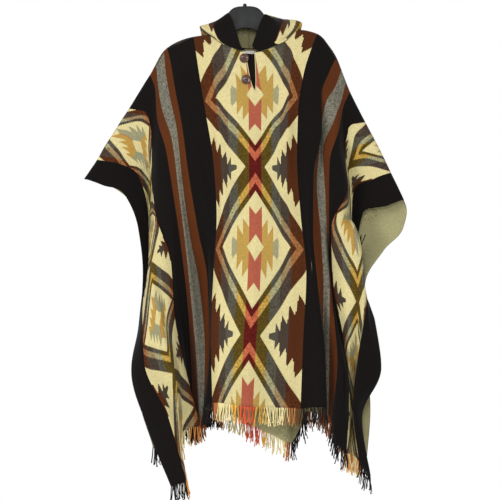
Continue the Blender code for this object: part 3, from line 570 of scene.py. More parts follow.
def blanket(name, inside):
    """The woven blanket. Inside it is khaki: stars show dark there and bands faintly."""
    made, shader, graph = new_finish(name, 0.95, 0.02, 0.10)
    fibres, tufts, worn = wool_nap(graph, shader, 0.35)
    cloth = graph.node("ShaderNodeUVMap", {}, uv_map="cloth")
    counts = graph.node("ShaderNodeUVMap", {}, uv_map="figure")
    signed = graph.node("ShaderNodeSeparateXYZ", {0: cloth}, out=0)
    across = abs(signed)
    centre_count = graph.node("ShaderNodeSeparateXYZ", {0: counts}, out=0)
    side_count = graph.node("ShaderNodeSeparateXYZ", {0: counts}, out=1)
    side = across > SIDE_START
    figured = 1 - (across > CENTRE_EDGE) + side - (across > SIDE_END)
    beside = abs(across - SIDE_MIDDLE) / PICK
    centre_column = (across / PICK).maths("ROUND")
    side_column = beside.maths("ROUND")
    column = centre_column * (1 - side) + side_column * side / SIDE_NARROW
    count = centre_count * (1 - side) + side_count * side
    way = count.maths("PINGPONG", 1.0)
    tall = CENTRE_TALL + (SIDE_TALL - CENTRE_TALL) * side
    height = way * tall
    rest = tall - height
    slant = height + column * SLOPE
    yarn = centre_column * (1 - side) + (side_column * SIDE_YARN_STEP + SIDE_YARN_SHIFT) * side
    dark = across_ramp(graph, yarn, DARK_YARNS, WIDEST)
    star = rest < outline_at(graph, column - SIDE_STAR_SHIFT * side, STAR)
    ground = slant > BAND_EDGE
    if inside:
        mask = figured * ground * star
        khaki = graph.plain(KHAKI)
        colour = khaki.mix(mask, dye(52, 40, 32))
        ghost = figured * (slant > MIDDLE_EDGE) * (1 - ground) * 0.10
        colour = colour.mix(ghost, dye(110, 100, 70))
    else:
        light = across_ramp(graph, yarn, LIGHT_YARNS, WIDEST)
        flower_yarn = across_ramp(graph, column, FLOWER_YARNS, WIDEST)
        outer = (across > SIDE_MIDDLE) * 2 - 1
        upper = (count.maths("FLOORED_MODULO", 2.0) > 1.0) * 2 - 1
        turned = side * (outer * upper < 0)
        flower_yarn = flower_yarn.mix(side * (column > 0.5), GOLD).mix(turned, SAGE)
        flower = height < outline_at(graph, column, FLOWER)
        square = (column / SQUARE_WIDE + height / SQUARE_TALL) < 1.0
        colour = graph.plain(STRIPES[0].yarn)
        for stripe in STRIPES[1:]:
            colour = colour.mix(across > stripe.start * MM, stripe.yarn)
        colour = colour.mix(figured * flower * (1 - square), flower_yarn)
        colour = colour.mix(figured * (slant > INSIDE_EDGE), dark)
        between = (slant > THIN_EDGE) * (slant < MIDDLE_EDGE)
        colour = colour.mix(figured * between, light)
        colour = colour.mix(figured * ground, CREAM)
        colour = colour.mix(figured * ground * star, dark)
    lightness = 0.35 + fibres * 0.50 + tufts * 0.55 + worn * 0.25
    heather = (across > 0.248) * (across < 0.286)
    speckled = heather * 2.0 + figured * (slant > INSIDE_EDGE) * (1 - ground) * 1.5
    lightness = lightness + speckled * (tufts - 0.5)
    feed(shader, "Base Color", colour.shade(lightness * WOOL_DEPTH))
    return made


blanket_outside = blanket("blanket_outside", False)
blanket_inside = blanket("blanket_inside", True)


# Front of the poncho: the half of the blanket that falls in front, with the head slit
# cut down its middle. It is pressed along the centre and was folded once across the hem.
SLIT_LENGTH = 0.097
SLIT_WIDTH = 0.0245
SLIT_REACH = 0.060
SLIT_LEFT_SHARE = 0.70
SLIT_TURNED = 0.017
SLIT_CLOSING = 0.40
PANEL_COLUMNS = 247
FALL_STEPS = 124
SHOULDER_STEPS = 10
SHOULDER_PART = 0.03

# Where the figure stands along the cloth: count goes up by one from a diamond's centre
# to the crossing below it, and reach is the cloth's length from the shoulder fold.
Phase = namedtuple("Phase", "reach count")
FRONT_CENTRE = (
    Phase(-0.035, -1), Phase(0.189, 0), Phase(0.377, 1), Phase(0.585, 2), Phase(0.815, 3),
    Phase(1.0, 3.84),
)
FRONT_LEFT = (
    Phase(-0.094, -1), Phase(0.080, 0), Phase(0.26, 1), Phase(0.360, 2), Phase(0.450, 3),
    Phase(0.612, 4), Phase(0.77, 5), Phase(0.94, 6), Phase(1.0, 6.3),
)
FRONT_RIGHT = (
    Phase(-0.07, 0), Phase(0.105, 1), Phase(0.30, 2), Phase(0.545, 3), Phase(0.71, 4),
    Phase(0.88, 5), Phase(1.0, 5.7),
)
# A small buckle beside the slit hides some of the cloth there.
BUCKLE_CLOTH, BUCKLE_REACH = 0.064, 0.286
BUCKLE_HALF, BUCKLE_TALL, BUCKLE_SLACK = 0.026, 0.040, 0.020


def falls_down():
    """Parts of the way down, close together over the shoulder."""
    top = np.linspace(0, SHOULDER_PART, SHOULDER_STEPS, endpoint=False)
    return np.concatenate([top, np.linspace(SHOULDER_PART, 1, FALL_STEPS)])


def reach_of(cloth, falls, scoop):
    """How far down its own length each point of a panel is, from the shoulder fold."""
    cut = scoop * np.clip(1 - (cloth[:, None] / NECK_HALF) ** 2, 0, 1)
    return cut + falls[None] * (CLOTH_LENGTH - cut)


def counted(phases, reach):
    return np.interp(reach, [p.reach for p in phases], [p.count for p in phases])


def outward(points):
    """Unit normals of a grid of points, its columns left to right and rows downwards."""
    along = np.gradient(points, axis=0)
    down = np.gradient(points, axis=1)
    out = np.cross(down, along)
    return out / np.linalg.norm(out, axis=2)[..., None]


def creased(points, cloth, falls, creases, length):
    """Moves a grid of points out of the cloth by its small creases."""
    rise = np.zeros(points.shape[:2])
    for crease in creases:
        sideways = (cloth[:, None] / MM - crease.cloth) + 0 * falls[None]
        down = (falls[None] - crease.fall) * length / MM + 0 * cloth[:, None]
        turn = math.radians(crease.lean)
        along = down * math.cos(turn) + sideways * math.sin(turn)
        beside = sideways * math.cos(turn) - down * math.sin(turn)
        away = (along / crease.reach) ** 2 + (beside / crease.breadth) ** 2
        rise += crease.rise * MM * np.exp(-away)
    return points + outward(points) * rise[..., None]


def woven_sheet(name, points, marks, flipped=False, split=None):
    """A wall of blanket through a grid of points, the inside in its own finish. marks holds
    each point's place for the UV maps, and split the other side of a slit's points."""
    columns, rows = points.shape[:2]
    bm = bmesh.new()
    maps = [bm.loops.layers.uv.new(label) for label in ("cloth", "figure")]
    corner = [[bm.verts.new(points[c, r]) for r in range(rows)] for c in range(columns)]
    other = {}
    place = {vert: (c, r) for c, line in enumerate(corner) for r, vert in enumerate(line)}
    middle = columns // 2
    for r, point in enumerate(split if split is not None else ()):
        other[r] = bm.verts.new(point)
        place[other[r]] = (middle, r)
    lips = set(other.values())
    for c in range(columns - 1):
        for r in range(rows - 1):
            a, b = corner[c][r], corner[c][r + 1]
            if c == middle:
                a, b = other.get(r, a), other.get(r + 1, b)
            loop = (a, b, corner[c + 1][r + 1], corner[c + 1][r])
            face = bm.faces.new(loop[::-1] if flipped else loop)
            face.smooth = True
            for knot in face.loops:
                mark = marks[place[knot.vert]]
                knot[maps[0]].uv = (abs(mark[0]) if knot.vert in lips else mark[0], mark[1])
                knot[maps[1]].uv = mark[2:]
    mesh = bpy.data.meshes.new(name)
    bm.to_mesh(mesh)
    bm.free()
    return solid_sheet(name, mesh, (blanket_outside, blanket_inside), CLOTH_WALL)


def solid_sheet(name, mesh, finishes, wall):
    """Gives an open mesh its wall, and keeps the result as a plain mesh."""
    thing = bpy.data.objects.new(name, mesh)
    bpy.context.scene.collection.objects.link(thing)
    for finish in finishes:
        mesh.materials.append(finish)
    solidify = thing.modifiers.new("wall", "SOLIDIFY")
    solidify.thickness = wall
    solidify.offset = 0.0
    solidify.material_offset = len(finishes) - 1
    return applied(thing)


def applied(thing):
    """Keeps what the object's modifiers make as its plain mesh."""
    seen = thing.evaluated_get(bpy.context.evaluated_depsgraph_get())
    mesh = bpy.data.meshes.new_from_object(seen)
    thing.modifiers.clear()
    thing.data = mesh
    return thing


front = Drape(FRONT_GUIDES, FRONT_SCOOP, 1, FRONT_FOLDS)
cloth_across = np.linspace(-CLOTH_HALF, CLOTH_HALF, PANEL_COLUMNS)
cloth_across[np.abs(cloth_across) < 1e-9] = 0.0
front_falls = falls_down()
front_points = front.grid(cloth_across, front_falls)
front_points = creased(front_points, cloth_across, front_falls, FRONT_CREASES, CLOTH_LENGTH)
ridge = PRESSED_RIDGE * MM * np.exp(-np.abs(cloth_across) / (PRESSED_HALF * MM))
ridge = ridge[:, None] * np.clip((front_falls - PRESSED_START) / PRESSED_GROWS, 0, 1)[None]
front_points = front_points + outward(front_points) * ridge[..., None]

reach = reach_of(cloth_across, front_falls, FRONT_SCOOP)
below_neck = front_falls * (CLOTH_LENGTH - FRONT_SCOOP)
open_part = np.clip(1 - below_neck / SLIT_LENGTH, 0, 1) ** SLIT_CLOSING
pull = np.clip(1 - np.abs(cloth_across) / SLIT_REACH, 0, 1) ** 2
spread = open_part[None] * SLIT_WIDTH * pull[:, None]
middle_column = PANEL_COLUMNS // 2
slit_rows = int(np.sum(open_part > 0))
slit_right = front_points[middle_column, :slit_rows].copy()
slit_right[:, 0] += (1 - SLIT_LEFT_SHARE) * spread[middle_column, :slit_rows]
shares = np.where(cloth_across > 0, 1 - SLIT_LEFT_SHARE, -SLIT_LEFT_SHARE)
front_points[:, :, 0] += shares[:, None] * spread

buckle = np.exp(
    -((cloth_across[:, None] - BUCKLE_CLOTH) / BUCKLE_HALF) ** 2
    - ((reach - BUCKLE_REACH) / BUCKLE_TALL) ** 2
)
centre_counts = counted(FRONT_CENTRE, reach + BUCKLE_SLACK * buckle)
side_counts = np.where(
    cloth_across[:, None] < 0, counted(FRONT_LEFT, reach), counted(FRONT_RIGHT, reach)
)
own_side = np.where(cloth_across > 0, 1, -1)[:, None]
turned = SLIT_TURNED * own_side * open_part[None] * pull[:, None]
sideways = cloth_across[:, None] + turned
front_marks = np.stack([sideways, reach, centre_counts, side_counts], axis=2)
cloth_front = woven_sheet("poncho_front", front_points, front_marks, split=slit_right)
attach(cloth_front, "root")
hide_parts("cloth_front")


# Back of the poncho: the other half of the blanket, which hangs free behind in soft
# folds. The figure runs on over the shoulders from the front.
BACK_CENTRE = (Phase(0.012, -1), Phase(0.212, 0), Phase(1.012, 4))
BACK_LEFT = (Phase(-0.068, 0), Phase(0.117, 1), Phase(0.302, 2), Phase(1.042, 6))
BACK_RIGHT = (Phase(-0.073, 1), Phase(0.112, 2), Phase(0.297, 3), Phase(1.037, 7))

back = Drape(BACK_GUIDES, BACK_SCOOP, -1, BACK_FOLDS)
back_falls = falls_down()
back_points = back.grid(cloth_across, back_falls)
turned_round = creased(
    back_points[::-1], cloth_across[::-1], back_falls, BACK_CREASES, CLOTH_LENGTH
)
back_points = turned_round[::-1]
reach = reach_of(cloth_across, back_falls, BACK_SCOOP)
centre_counts = counted(BACK_CENTRE, reach)
side_counts = np.where(
    cloth_across[:, None] < 0, counted(BACK_LEFT, reach), counted(BACK_RIGHT, reach)
)
sideways = np.broadcast_to(cloth_across[:, None], reach.shape)
back_marks = np.stack([sideways, reach, centre_counts, side_counts], axis=2)
cloth_back = woven_sheet("poncho_back", back_points, back_marks, flipped=True)
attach(cloth_back, "root")
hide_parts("cloth_back")


# Hood. Two halves of the blanket, joined behind along the middle and sewn round the neck.
# The black selvedge band runs up the face opening, with the side panel's points behind
# it. Unworn, it stands round the neck and slumps over the back.
HOOD_MIDDLE = -0.003
HOOD_FRONT_CORNER = 0.014
HOOD_SEAM_RISE = 0.0019
HOOD_SEAM_BEHIND = 0.0028
HOOD_BEHIND_FROM = 0.06
HOOD_CORNER_RISE = 0.0020
HOOD_CORNER_REACH = 0.2
HOOD_SEAM_GAP = 0.0002
HOOD_SEAM_FADE = 0.08
HOOD_ROWS = 64
HOOD_FRONT_COLUMNS = 56
HOOD_REAR_COLUMNS = 64
HOOD_SEAM_PUCKER = 0.0012
HOOD_PUCKER_STEP = 0.021
HOOD_PUCKER_REACH = 0.08
HOOD_STAR_RISE = 0.070
HOOD_COUNT_RISE = 0.200

# around is the way from the front edge, past the shoulder at a half, to the middle of the
# back. The other columns follow the cloth from the neck seam up to the opening's edge, in
# millimetres. The right half sits higher over the shoulder.
Section = namedtuple("Section", "around across drop proud")
HOOD_LEFT = (
    Section(0.0, (-24, -29, -34, -39, -44, -51, -57), (166, 150, 133, 117, 101, 88, 79),
            (46, 42, 36, 28, 20, 15, 11)),
    Section(0.25, (-65, -75, -83, -86, -82, -75, -67), (159, 144, 127, 112, 99, 91, 85),
            (39, 35, 28, 20, 10, 1, -8)),
    Section(0.42, (-98, -105, -110, -109, -100, -84, -62), (138, 130, 121, 113, 105, 97, 84),
            (16, 15, 10, 3, -6, -14, -24)),
    Section(0.5, (-119, -126, -129, -122, -109, -86, -52), (130, 122, 116, 112, 106, 97, 83),
            (1, -3, -8, -13, -22, -30, -38)),
    Section(0.58, (-98, -112, -122, -121, -111, -87, -46), (143, 147, 156, 150, 124, 99, 81),
            (-29, -36, -46, -54, -54, -47, -43)),
    Section(0.75, (-73, -94, -107, -109, -104, -83, -31), (166, 192, 234, 224, 172, 114, 79),
            (-50, -66, -84, -104, -102, -80, -54)),
    Section(1.0, (-3, -3, -3, -3, -3, -3, -3), (168, 204, 288, 298, 218, 120, 80),
            (-60, -72, -88, -110, -128, -106, -62)),
)
HOOD_RIGHT = (
    Section(0.0, (6, 11, 16, 21, 26, 33, 39), (166, 150, 134, 119, 104, 91, 82),
            (46, 42, 36, 28, 20, 15, 11)),
    Section(0.25, (68, 77, 84, 87, 83, 76, 66), (156, 142, 128, 117, 108, 101, 95),
            (38, 34, 28, 20, 10, 1, -8)),
    Section(0.42, (112, 117, 120, 116, 105, 87, 62), (133, 125, 115, 106, 99, 95, 90),
            (16, 15, 10, 3, -6, -14, -24)),
    Section(0.5, (133, 134, 133, 126, 112, 89, 54), (117, 110, 104, 100, 96, 94, 87),
            (1, -3, -8, -13, -22, -30, -38)),
    Section(0.58, (114, 124, 130, 127, 114, 90, 46), (136, 139, 146, 140, 116, 96, 82),
            (-27, -36, -46, -54, -54, -47, -43)),
    Section(0.75, (70, 91, 104, 106, 101, 80, 28), (163, 189, 231, 221, 169, 113, 80),
            (-50, -66, -84, -104, -102, -80, -54)),
    Section(1.0, (-3, -3, -3, -3, -3, -3, -3), (168, 204, 288, 298, 218, 120, 80),
            (-60, -72, -88, -110, -128, -106, -62)),
)

# around and up are a crease's middle, reach half its length, breadth half its width.
HoodCrease = namedtuple("HoodCrease", "around up reach breadth lean rise")
HOOD_CREASES = (
    HoodCrease(0.10, 0.55, 0.30, 0.05, 8, -1.8), HoodCrease(0.24, 0.40, 0.34, 0.05, -12, 2.2),
    HoodCrease(0.36, 0.62, 0.30, 0.06, 16, -2.4), HoodCrease(0.47, 0.44, 0.26, 0.05, -20, 2.6),
    HoodCrease(0.58, 0.58, 0.30, 0.05, 22, -2.6), HoodCrease(0.70, 0.48, 0.34, 0.06, -10, 3.0),
    HoodCrease(0.82, 0.62, 0.30, 0.06, 14, -2.8), HoodCrease(0.92, 0.38, 0.28, 0.05, -6, 2.4),
)


def hood_feet(side):
    """The neck seam, from the slit over the shoulder to the middle of the back."""
    ahead = np.linspace(0, 1, HOOD_FRONT_COLUMNS)
    ahead = np.sin(ahead * math.pi / 2)
    behind = np.linspace(0, 1, HOOD_REAR_COLUMNS)[1:]
    behind = 1 - np.cos(behind * math.pi / 2)
    front_cloth = HOOD_FRONT_CORNER + ahead * (NECK_HALF - HOOD_FRONT_CORNER)
    back_cloth = NECK_HALF * (1 - behind)
    rounds = np.concatenate([0.5 * ahead, 0.5 + 0.5 * behind])
    edge = np.concatenate([
        front.grid(side * front_cloth, [0.0])[:, 0],
        back.grid(side * back_cloth, [0.0])[:, 0],
    ])
    edge[:, 1] += np.clip((rounds - 0.5) / HOOD_BEHIND_FROM, 0, 1) * HOOD_SEAM_BEHIND
    corner = np.clip(1 - np.abs(rounds - 0.5) / HOOD_CORNER_REACH, 0, 1)
    edge[:, 2] += HOOD_SEAM_RISE + corner * HOOD_CORNER_RISE
    return rounds, edge


def hood_half(name, side, sections, node):
    rounds, feet = hood_feet(side)
    known = np.array([s.around for s in sections])
    stations = np.array([np.transpose((s.across, s.proud, s.drop)) for s in sections])
    stations = stations * (MM, -MM, -MM)
    flat = smooth_between(known, stations.reshape(len(known), -1), rounds)
    curves = np.concatenate([feet[:, None], flat.reshape(len(rounds), -1, 3)], axis=1)
    knots = np.linspace(0, 1, curves.shape[1])
    rows = np.linspace(0, 1, HOOD_ROWS)
    points = np.array([smooth_between(knots, curve, rows) for curve in curves])
    out = outward(points) * -side
    sideways = rounds[:, None]
    upwards = rows[None]
    length = np.concatenate([[0], np.cumsum(np.linalg.norm(np.diff(feet, axis=0), axis=1))])
    pucker = np.cos(length / HOOD_PUCKER_STEP * 2 * math.pi)[:, None]
    rise = HOOD_SEAM_PUCKER * pucker * np.exp(-upwards / HOOD_PUCKER_REACH)
    for crease in HOOD_CREASES:
        turn = math.radians(crease.lean * side)
        up, aside = upwards - crease.up, sideways - crease.around
        along = up * math.cos(turn) + aside * math.sin(turn)
        beside = aside * math.cos(turn) - up * math.sin(turn)
        rise = rise + crease.rise * MM * np.exp(
            -(along / crease.reach) ** 2 - (beside / crease.breadth) ** 2
        )
    rise = rise * np.clip((1 - rounds[:, None]) / HOOD_SEAM_FADE, 0, 1)
    points = points + out * rise[..., None]
    seam = HOOD_MIDDLE + side * HOOD_SEAM_GAP
    points[..., 0] = np.maximum(points[..., 0] * side, seam * side) * side
    points[-1, :, 0] = seam
    round_way = np.linalg.norm(np.diff(points, axis=0), axis=2)
    round_way = np.vstack([np.zeros(HOOD_ROWS), np.cumsum(round_way, axis=0)])
    up_way = np.linalg.norm(np.diff(points, axis=1), axis=2)
    up_way = np.hstack([np.zeros((len(rounds), 1)), np.cumsum(up_way, axis=1)])
    along_cloth = side * (CLOTH_HALF - round_way)
    counts = 1 + (up_way - HOOD_STAR_RISE) / HOOD_COUNT_RISE
    marks = np.stack([along_cloth, up_way, counts, counts], axis=2)
    if side > 0:
        points, marks = points[::-1], marks[::-1]
    piece = woven_sheet(name, points, marks)
    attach(piece, "root")
    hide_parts(node)
    return piece


hood_left = hood_half("hood_half_left", -1, HOOD_LEFT, "hood_left")
hood_right = hood_half("hood_half_right", 1, HOOD_RIGHT, "hood_right")


# Underlap. A black strip of the same wool is sewn behind the head slit, so that nothing
# beneath it shows between the buttons.
UNDERLAP_LEFT, UNDERLAP_RIGHT = -0.030, 0.024
UNDERLAP_TOP, UNDERLAP_FOOT = 0.004, 0.125
UNDERLAP_BEHIND = 0.0030


def on_panel(drape, places, falls, off):
    """Points on a panel, moved out of the cloth by off."""
    points = drape.grid(places, falls)
    return points + outward(points) * drape.facing * off


def plain_sheet(name, points, finish, wall):
    columns, rows = points.shape[:2]
    faces = []
    for c in range(columns - 1):
        for r in range(rows - 1):
            at = c * rows + r
            faces.append((at, at + 1, at + rows + 1, at + rows))
    mesh = bpy.data.meshes.new(name)
    mesh.from_pydata([Vector(p) for p in points.reshape(-1, 3)], [], faces)
    for face in mesh.polygons:
        face.use_smooth = True
    return solid_sheet(name, mesh, (finish,), wall)


black_wool, shader, graph = new_finish("black_wool", 0.95, 0.02, 0.10)
fibres, tufts, worn = wool_nap(graph, shader, 0.35)
plain = graph.plain(BLACK)
feed(shader, "Base Color", plain.shade(0.34 + fibres * 0.3 + tufts * 0.2))

underlap = plain_sheet(
    "slit_backing",
    on_panel(
        front,
        np.linspace(UNDERLAP_LEFT, UNDERLAP_RIGHT, 24),
        np.linspace(UNDERLAP_TOP, UNDERLAP_FOOT, 40),
        -UNDERLAP_BEHIND,
    ),
    black_wool,
    CLOTH_WALL,
)
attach(underlap, "root")
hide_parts("slit_underlap")


# Slit binding. The slit's raw edges are turned and bound with a narrow cream tape, which
# shows as a pale line down both sides and round the bottom of the opening.
BINDING_RADIUS = 0.0011

cream_tape, shader, graph = new_finish("cream_tape", 0.9, 0.02, 0.10)
fibres, tufts, worn = wool_nap(graph, shader, 0.3)
plain = graph.plain(CREAM)
feed(shader, "Base Color", plain.shade(0.34 + fibres * 0.24 + tufts * 0.12))


def tube(name, route, radius, finish, sides=8):
    """A round cord along a route, closed at both ends, as a plain mesh."""
    line = bpy.data.curves.new(name, "CURVE")
    line.dimensions = "3D"
    line.bevel_depth = radius
    line.bevel_resolution = sides // 2 - 2
    line.use_fill_caps = True
    spline = line.splines.new("POLY")
    spline.points.add(len(route) - 1)
    for point, place in zip(spline.points, route):
        point.co = (*place, 1)
    drawn = bpy.data.objects.new(name + "_line", line)
    bpy.context.scene.collection.objects.link(drawn)
    seen = drawn.evaluated_get(bpy.context.evaluated_depsgraph_get())
    mesh = bpy.data.meshes.new_from_object(seen)
    bpy.data.objects.remove(drawn, do_unlink=True)
    bm = bmesh.new()
    bm.from_mesh(mesh)
    bmesh.ops.remove_doubles(bm, verts=bm.verts, dist=radius / 50)
    bmesh.ops.recalc_face_normals(bm, faces=bm.faces)
    bm.to_mesh(mesh)
    bm.free()
    mesh.materials.clear()
    mesh.materials.append(finish)
    for face in mesh.polygons:
        face.use_smooth = True
    made = bpy.data.objects.new(name, mesh)
    bpy.context.scene.collection.objects.link(made)
    return made


left_lip = front_points[middle_column, 1:slit_rows]
right_lip = slit_right[1:][::-1]
slit_foot = front_points[middle_column, slit_rows][None]
binding_route = np.concatenate([left_lip, slit_foot, right_lip]) - (0, CLOTH_WALL / 2, 0)
binding = tube("slit_binding", binding_route, BINDING_RADIUS, cream_tape)
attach(binding, "root")


# Neck label. A bare white woven tape, sewn by its ends inside the back, just under the
# neck seam, where it shows between the fronts of the hood.
LABEL_WIDTH, LABEL_HEIGHT, LABEL_THICK = 0.034, 0.018, 0.0006
LABEL_TOP, LABEL_OFF = 0.004, 0.0016

label_tape, shader, graph = new_finish("label_tape", 0.8, 0.05)
place = graph.place()
threads = graph.noise(place, 900.0, 2.0)
plain = graph.plain(dye(233, 231, 222))
feed(shader, "Base Color", plain.shade(0.86 + threads * 0.26))
raise_nap(graph, shader, 0.3, 0.0004, threads)

label = plain_sheet(
    "neck_tape",
    on_panel(
        back,
        np.linspace(-LABEL_WIDTH / 2, LABEL_WIDTH / 2, 10),
        np.linspace(LABEL_TOP, LABEL_TOP + LABEL_HEIGHT, 6),
        -LABEL_OFF,
    ),
    label_tape,
    LABEL_THICK,
)
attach(label, "root")
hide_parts("neck_label")


# Buttons. Two coconut shell buttons, turned with a raised rim round a dished middle and
# polished, each sewn on with dark thread through two holes.
BUTTON_RADIUS, BUTTON_THICK = 0.0125, 0.0045
BUTTON_HOLE, BUTTON_HOLE_OFF = 0.0015, 0.0030
BUTTON_SIDES = 48

coconut, shader, graph = new_finish("coconut_shell", 0.22, 0.0, 0.20)
shader.inputs["Coat Weight"].default_value = 0.15
shader.inputs["Coat Roughness"].default_value = 0.12
place = graph.place()
grain = graph.noise(place, 420.0, 4.0, 0.7)
cloud = graph.noise(place, 110.0, 2.0)
dark_shell = graph.plain(dye(36, 20, 14))
shell = dark_shell.mix(grain.maths("SMOOTH_MIN", cloud, 0.2), dye(86, 54, 40))
feed(shader, "Base Color", shell)
feed(shader, "Roughness", 0.16 + grain * 0.2)

dark_thread, shader, graph = new_finish("dark_thread", 0.85, 0.1)
place = graph.place()
twist = graph.noise(place, 1500.0, 1.0)
plain = graph.plain(dye(28, 22, 20))
feed(shader, "Base Color", plain.shade(0.7 + twist * 0.6))


def lathe(name, profile, sides, finish, place, axis):
    """A profile, from the middle of the top to the middle of the back, turned round axis."""
    bm = bmesh.new()
    corners = [bm.verts.new((r, 0, z)) for r, z in profile]
    edges = [bm.edges.new(pair) for pair in zip(corners[:-1], corners[1:])]
    bmesh.ops.spin(
        bm, geom=corners + edges, axis=(0, 0, 1), cent=(0, 0, 0), angle=2 * math.pi,
        steps=sides, use_merge=True,
    )
    bmesh.ops.remove_doubles(bm, verts=bm.verts, dist=0.00002)
    bmesh.ops.recalc_face_normals(bm, faces=bm.faces)
    turn = Vector(axis).to_track_quat("Z", "Y").to_matrix().to_4x4()
    bmesh.ops.transform(bm, matrix=Matrix.Translation(place) @ turn, verts=bm.verts)
    mesh = bpy.data.meshes.new(name)
    bm.to_mesh(mesh)
    bm.free()
    for face in mesh.polygons:
        face.use_smooth = True
    mesh.materials.append(finish)
    made = bpy.data.objects.new(name, mesh)
    bpy.context.scene.collection.objects.link(made)
    return made, Matrix.Translation(place) @ turn


def sewn_button(name, node):
    low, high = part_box(node)
    middle = (low + high) / 2
    fall = float(np.interp(-middle.z, -front_points[middle_column, :, 2], front_falls))
    near = front.grid([-0.024, -0.020, -0.016], [fall, fall + 0.01])
    out = Vector(outward(near)[1, 0])
    half = BUTTON_THICK / 2
    rim = BUTTON_RADIUS
    profile = (
        (0, half * 0.50), (rim * 0.40, half * 0.52), (rim * 0.60, half * 0.62),
        (rim * 0.70, half * 0.92), (rim * 0.80, half), (rim * 0.90, half * 0.88),
        (rim * 0.97, half * 0.50), (rim, 0), (rim * 0.96, -half * 0.7), (rim * 0.85, -half),
        (0, -half),
    )
    button, stand = lathe(name, profile, BUTTON_SIDES, coconut, middle, out)
    cutter = bmesh.new()
    for side in (-1, 1):
        spot = Matrix.Translation((side * BUTTON_HOLE_OFF, 0, 0))
        bmesh.ops.create_cone(
            cutter, cap_ends=True, segments=16, radius1=BUTTON_HOLE, radius2=BUTTON_HOLE,
            depth=BUTTON_THICK * 2, matrix=stand @ spot,
        )
    drill_mesh = bpy.data.meshes.new(name + "_drill")
    cutter.to_mesh(drill_mesh)
    cutter.free()
    drill = bpy.data.objects.new(name + "_drill", drill_mesh)
    bpy.context.scene.collection.objects.link(drill)
    holes = button.modifiers.new("holes", "BOOLEAN")
    holes.object = drill
    applied(button)
    bpy.data.objects.remove(drill, do_unlink=True)
    route = [
        stand @ Vector((x * BUTTON_HOLE_OFF, 0, z * half))
        for x, z in ((-1, -1.3), (-1, 0.2), (-0.7, 0.8), (0, 0.95), (0.7, 0.8), (1, 0.2), (1, -1.3))
    ]
    thread = tube(name + "_thread", route, BUTTON_HOLE * 0.55, dark_thread)
    for piece in (button, thread):
        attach(piece, "root")
    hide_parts(node)
    return button, thread


sewn_button("shell_button_upper", "button_upper")
sewn_button("shell_button_lower", "button_lower")


# Fringe. The warp's own ends are left long under both hems and twisted into thin tassels,
# about one to every 3.2 mm, so each has the colour of the yarns above it.
STRAND_STEP = 0.0032
STRAND_LENGTH = 0.050
STRAND_RADIUS = 0.0014
STRAND_LEAN = 0.22
STRAND_WAVE = 0.022
STRAND_TUCK = 0.0015
STRAND_ALONG, STRAND_OUT = 0.40, 0.02
FRINGE_CLOTH = 0.612
FRINGE_YARNS = (
    Stripe(0, dye(196, 84, 54)), Stripe(24, dye(206, 158, 66)), Stripe(46, dye(216, 202, 148)),
    Stripe(104, dye(170, 108, 60)), Stripe(124, dye(110, 62, 30)), Stripe(135, dye(24, 20, 18)),
    Stripe(214, dye(128, 66, 28)), Stripe(248, dye(120, 114, 98)), Stripe(286, dye(128, 66, 28)),
    Stripe(320, dye(24, 20, 18)), Stripe(404, dye(196, 128, 62)), Stripe(424, dye(220, 206, 156)),
    Stripe(462, dye(206, 138, 60)), Stripe(500, dye(220, 206, 156)), Stripe(538, dye(196, 128, 62)),
    Stripe(555, dye(24, 20, 18)),
)

fringe_yarn, shader, graph = new_finish("fringe_yarn", 0.9, 0.02, 0.10)
own_place = graph.node("ShaderNodeAttribute", {}, out=2, attribute_name="cloth_place")
own_tint = graph.node("ShaderNodeAttribute", {}, out=2, attribute_name="tint")
place = graph.place()
twist = graph.noise(place, 900.0, 2.0)
warp_end = across_ramp(graph, abs(own_place) / MM, FRINGE_YARNS, 614.0)
feed(shader, "Base Color", warp_end.shade(0.50 + own_tint * 0.36 + twist * 0.36))
raise_nap(graph, shader, 0.4, 0.0005, twist)


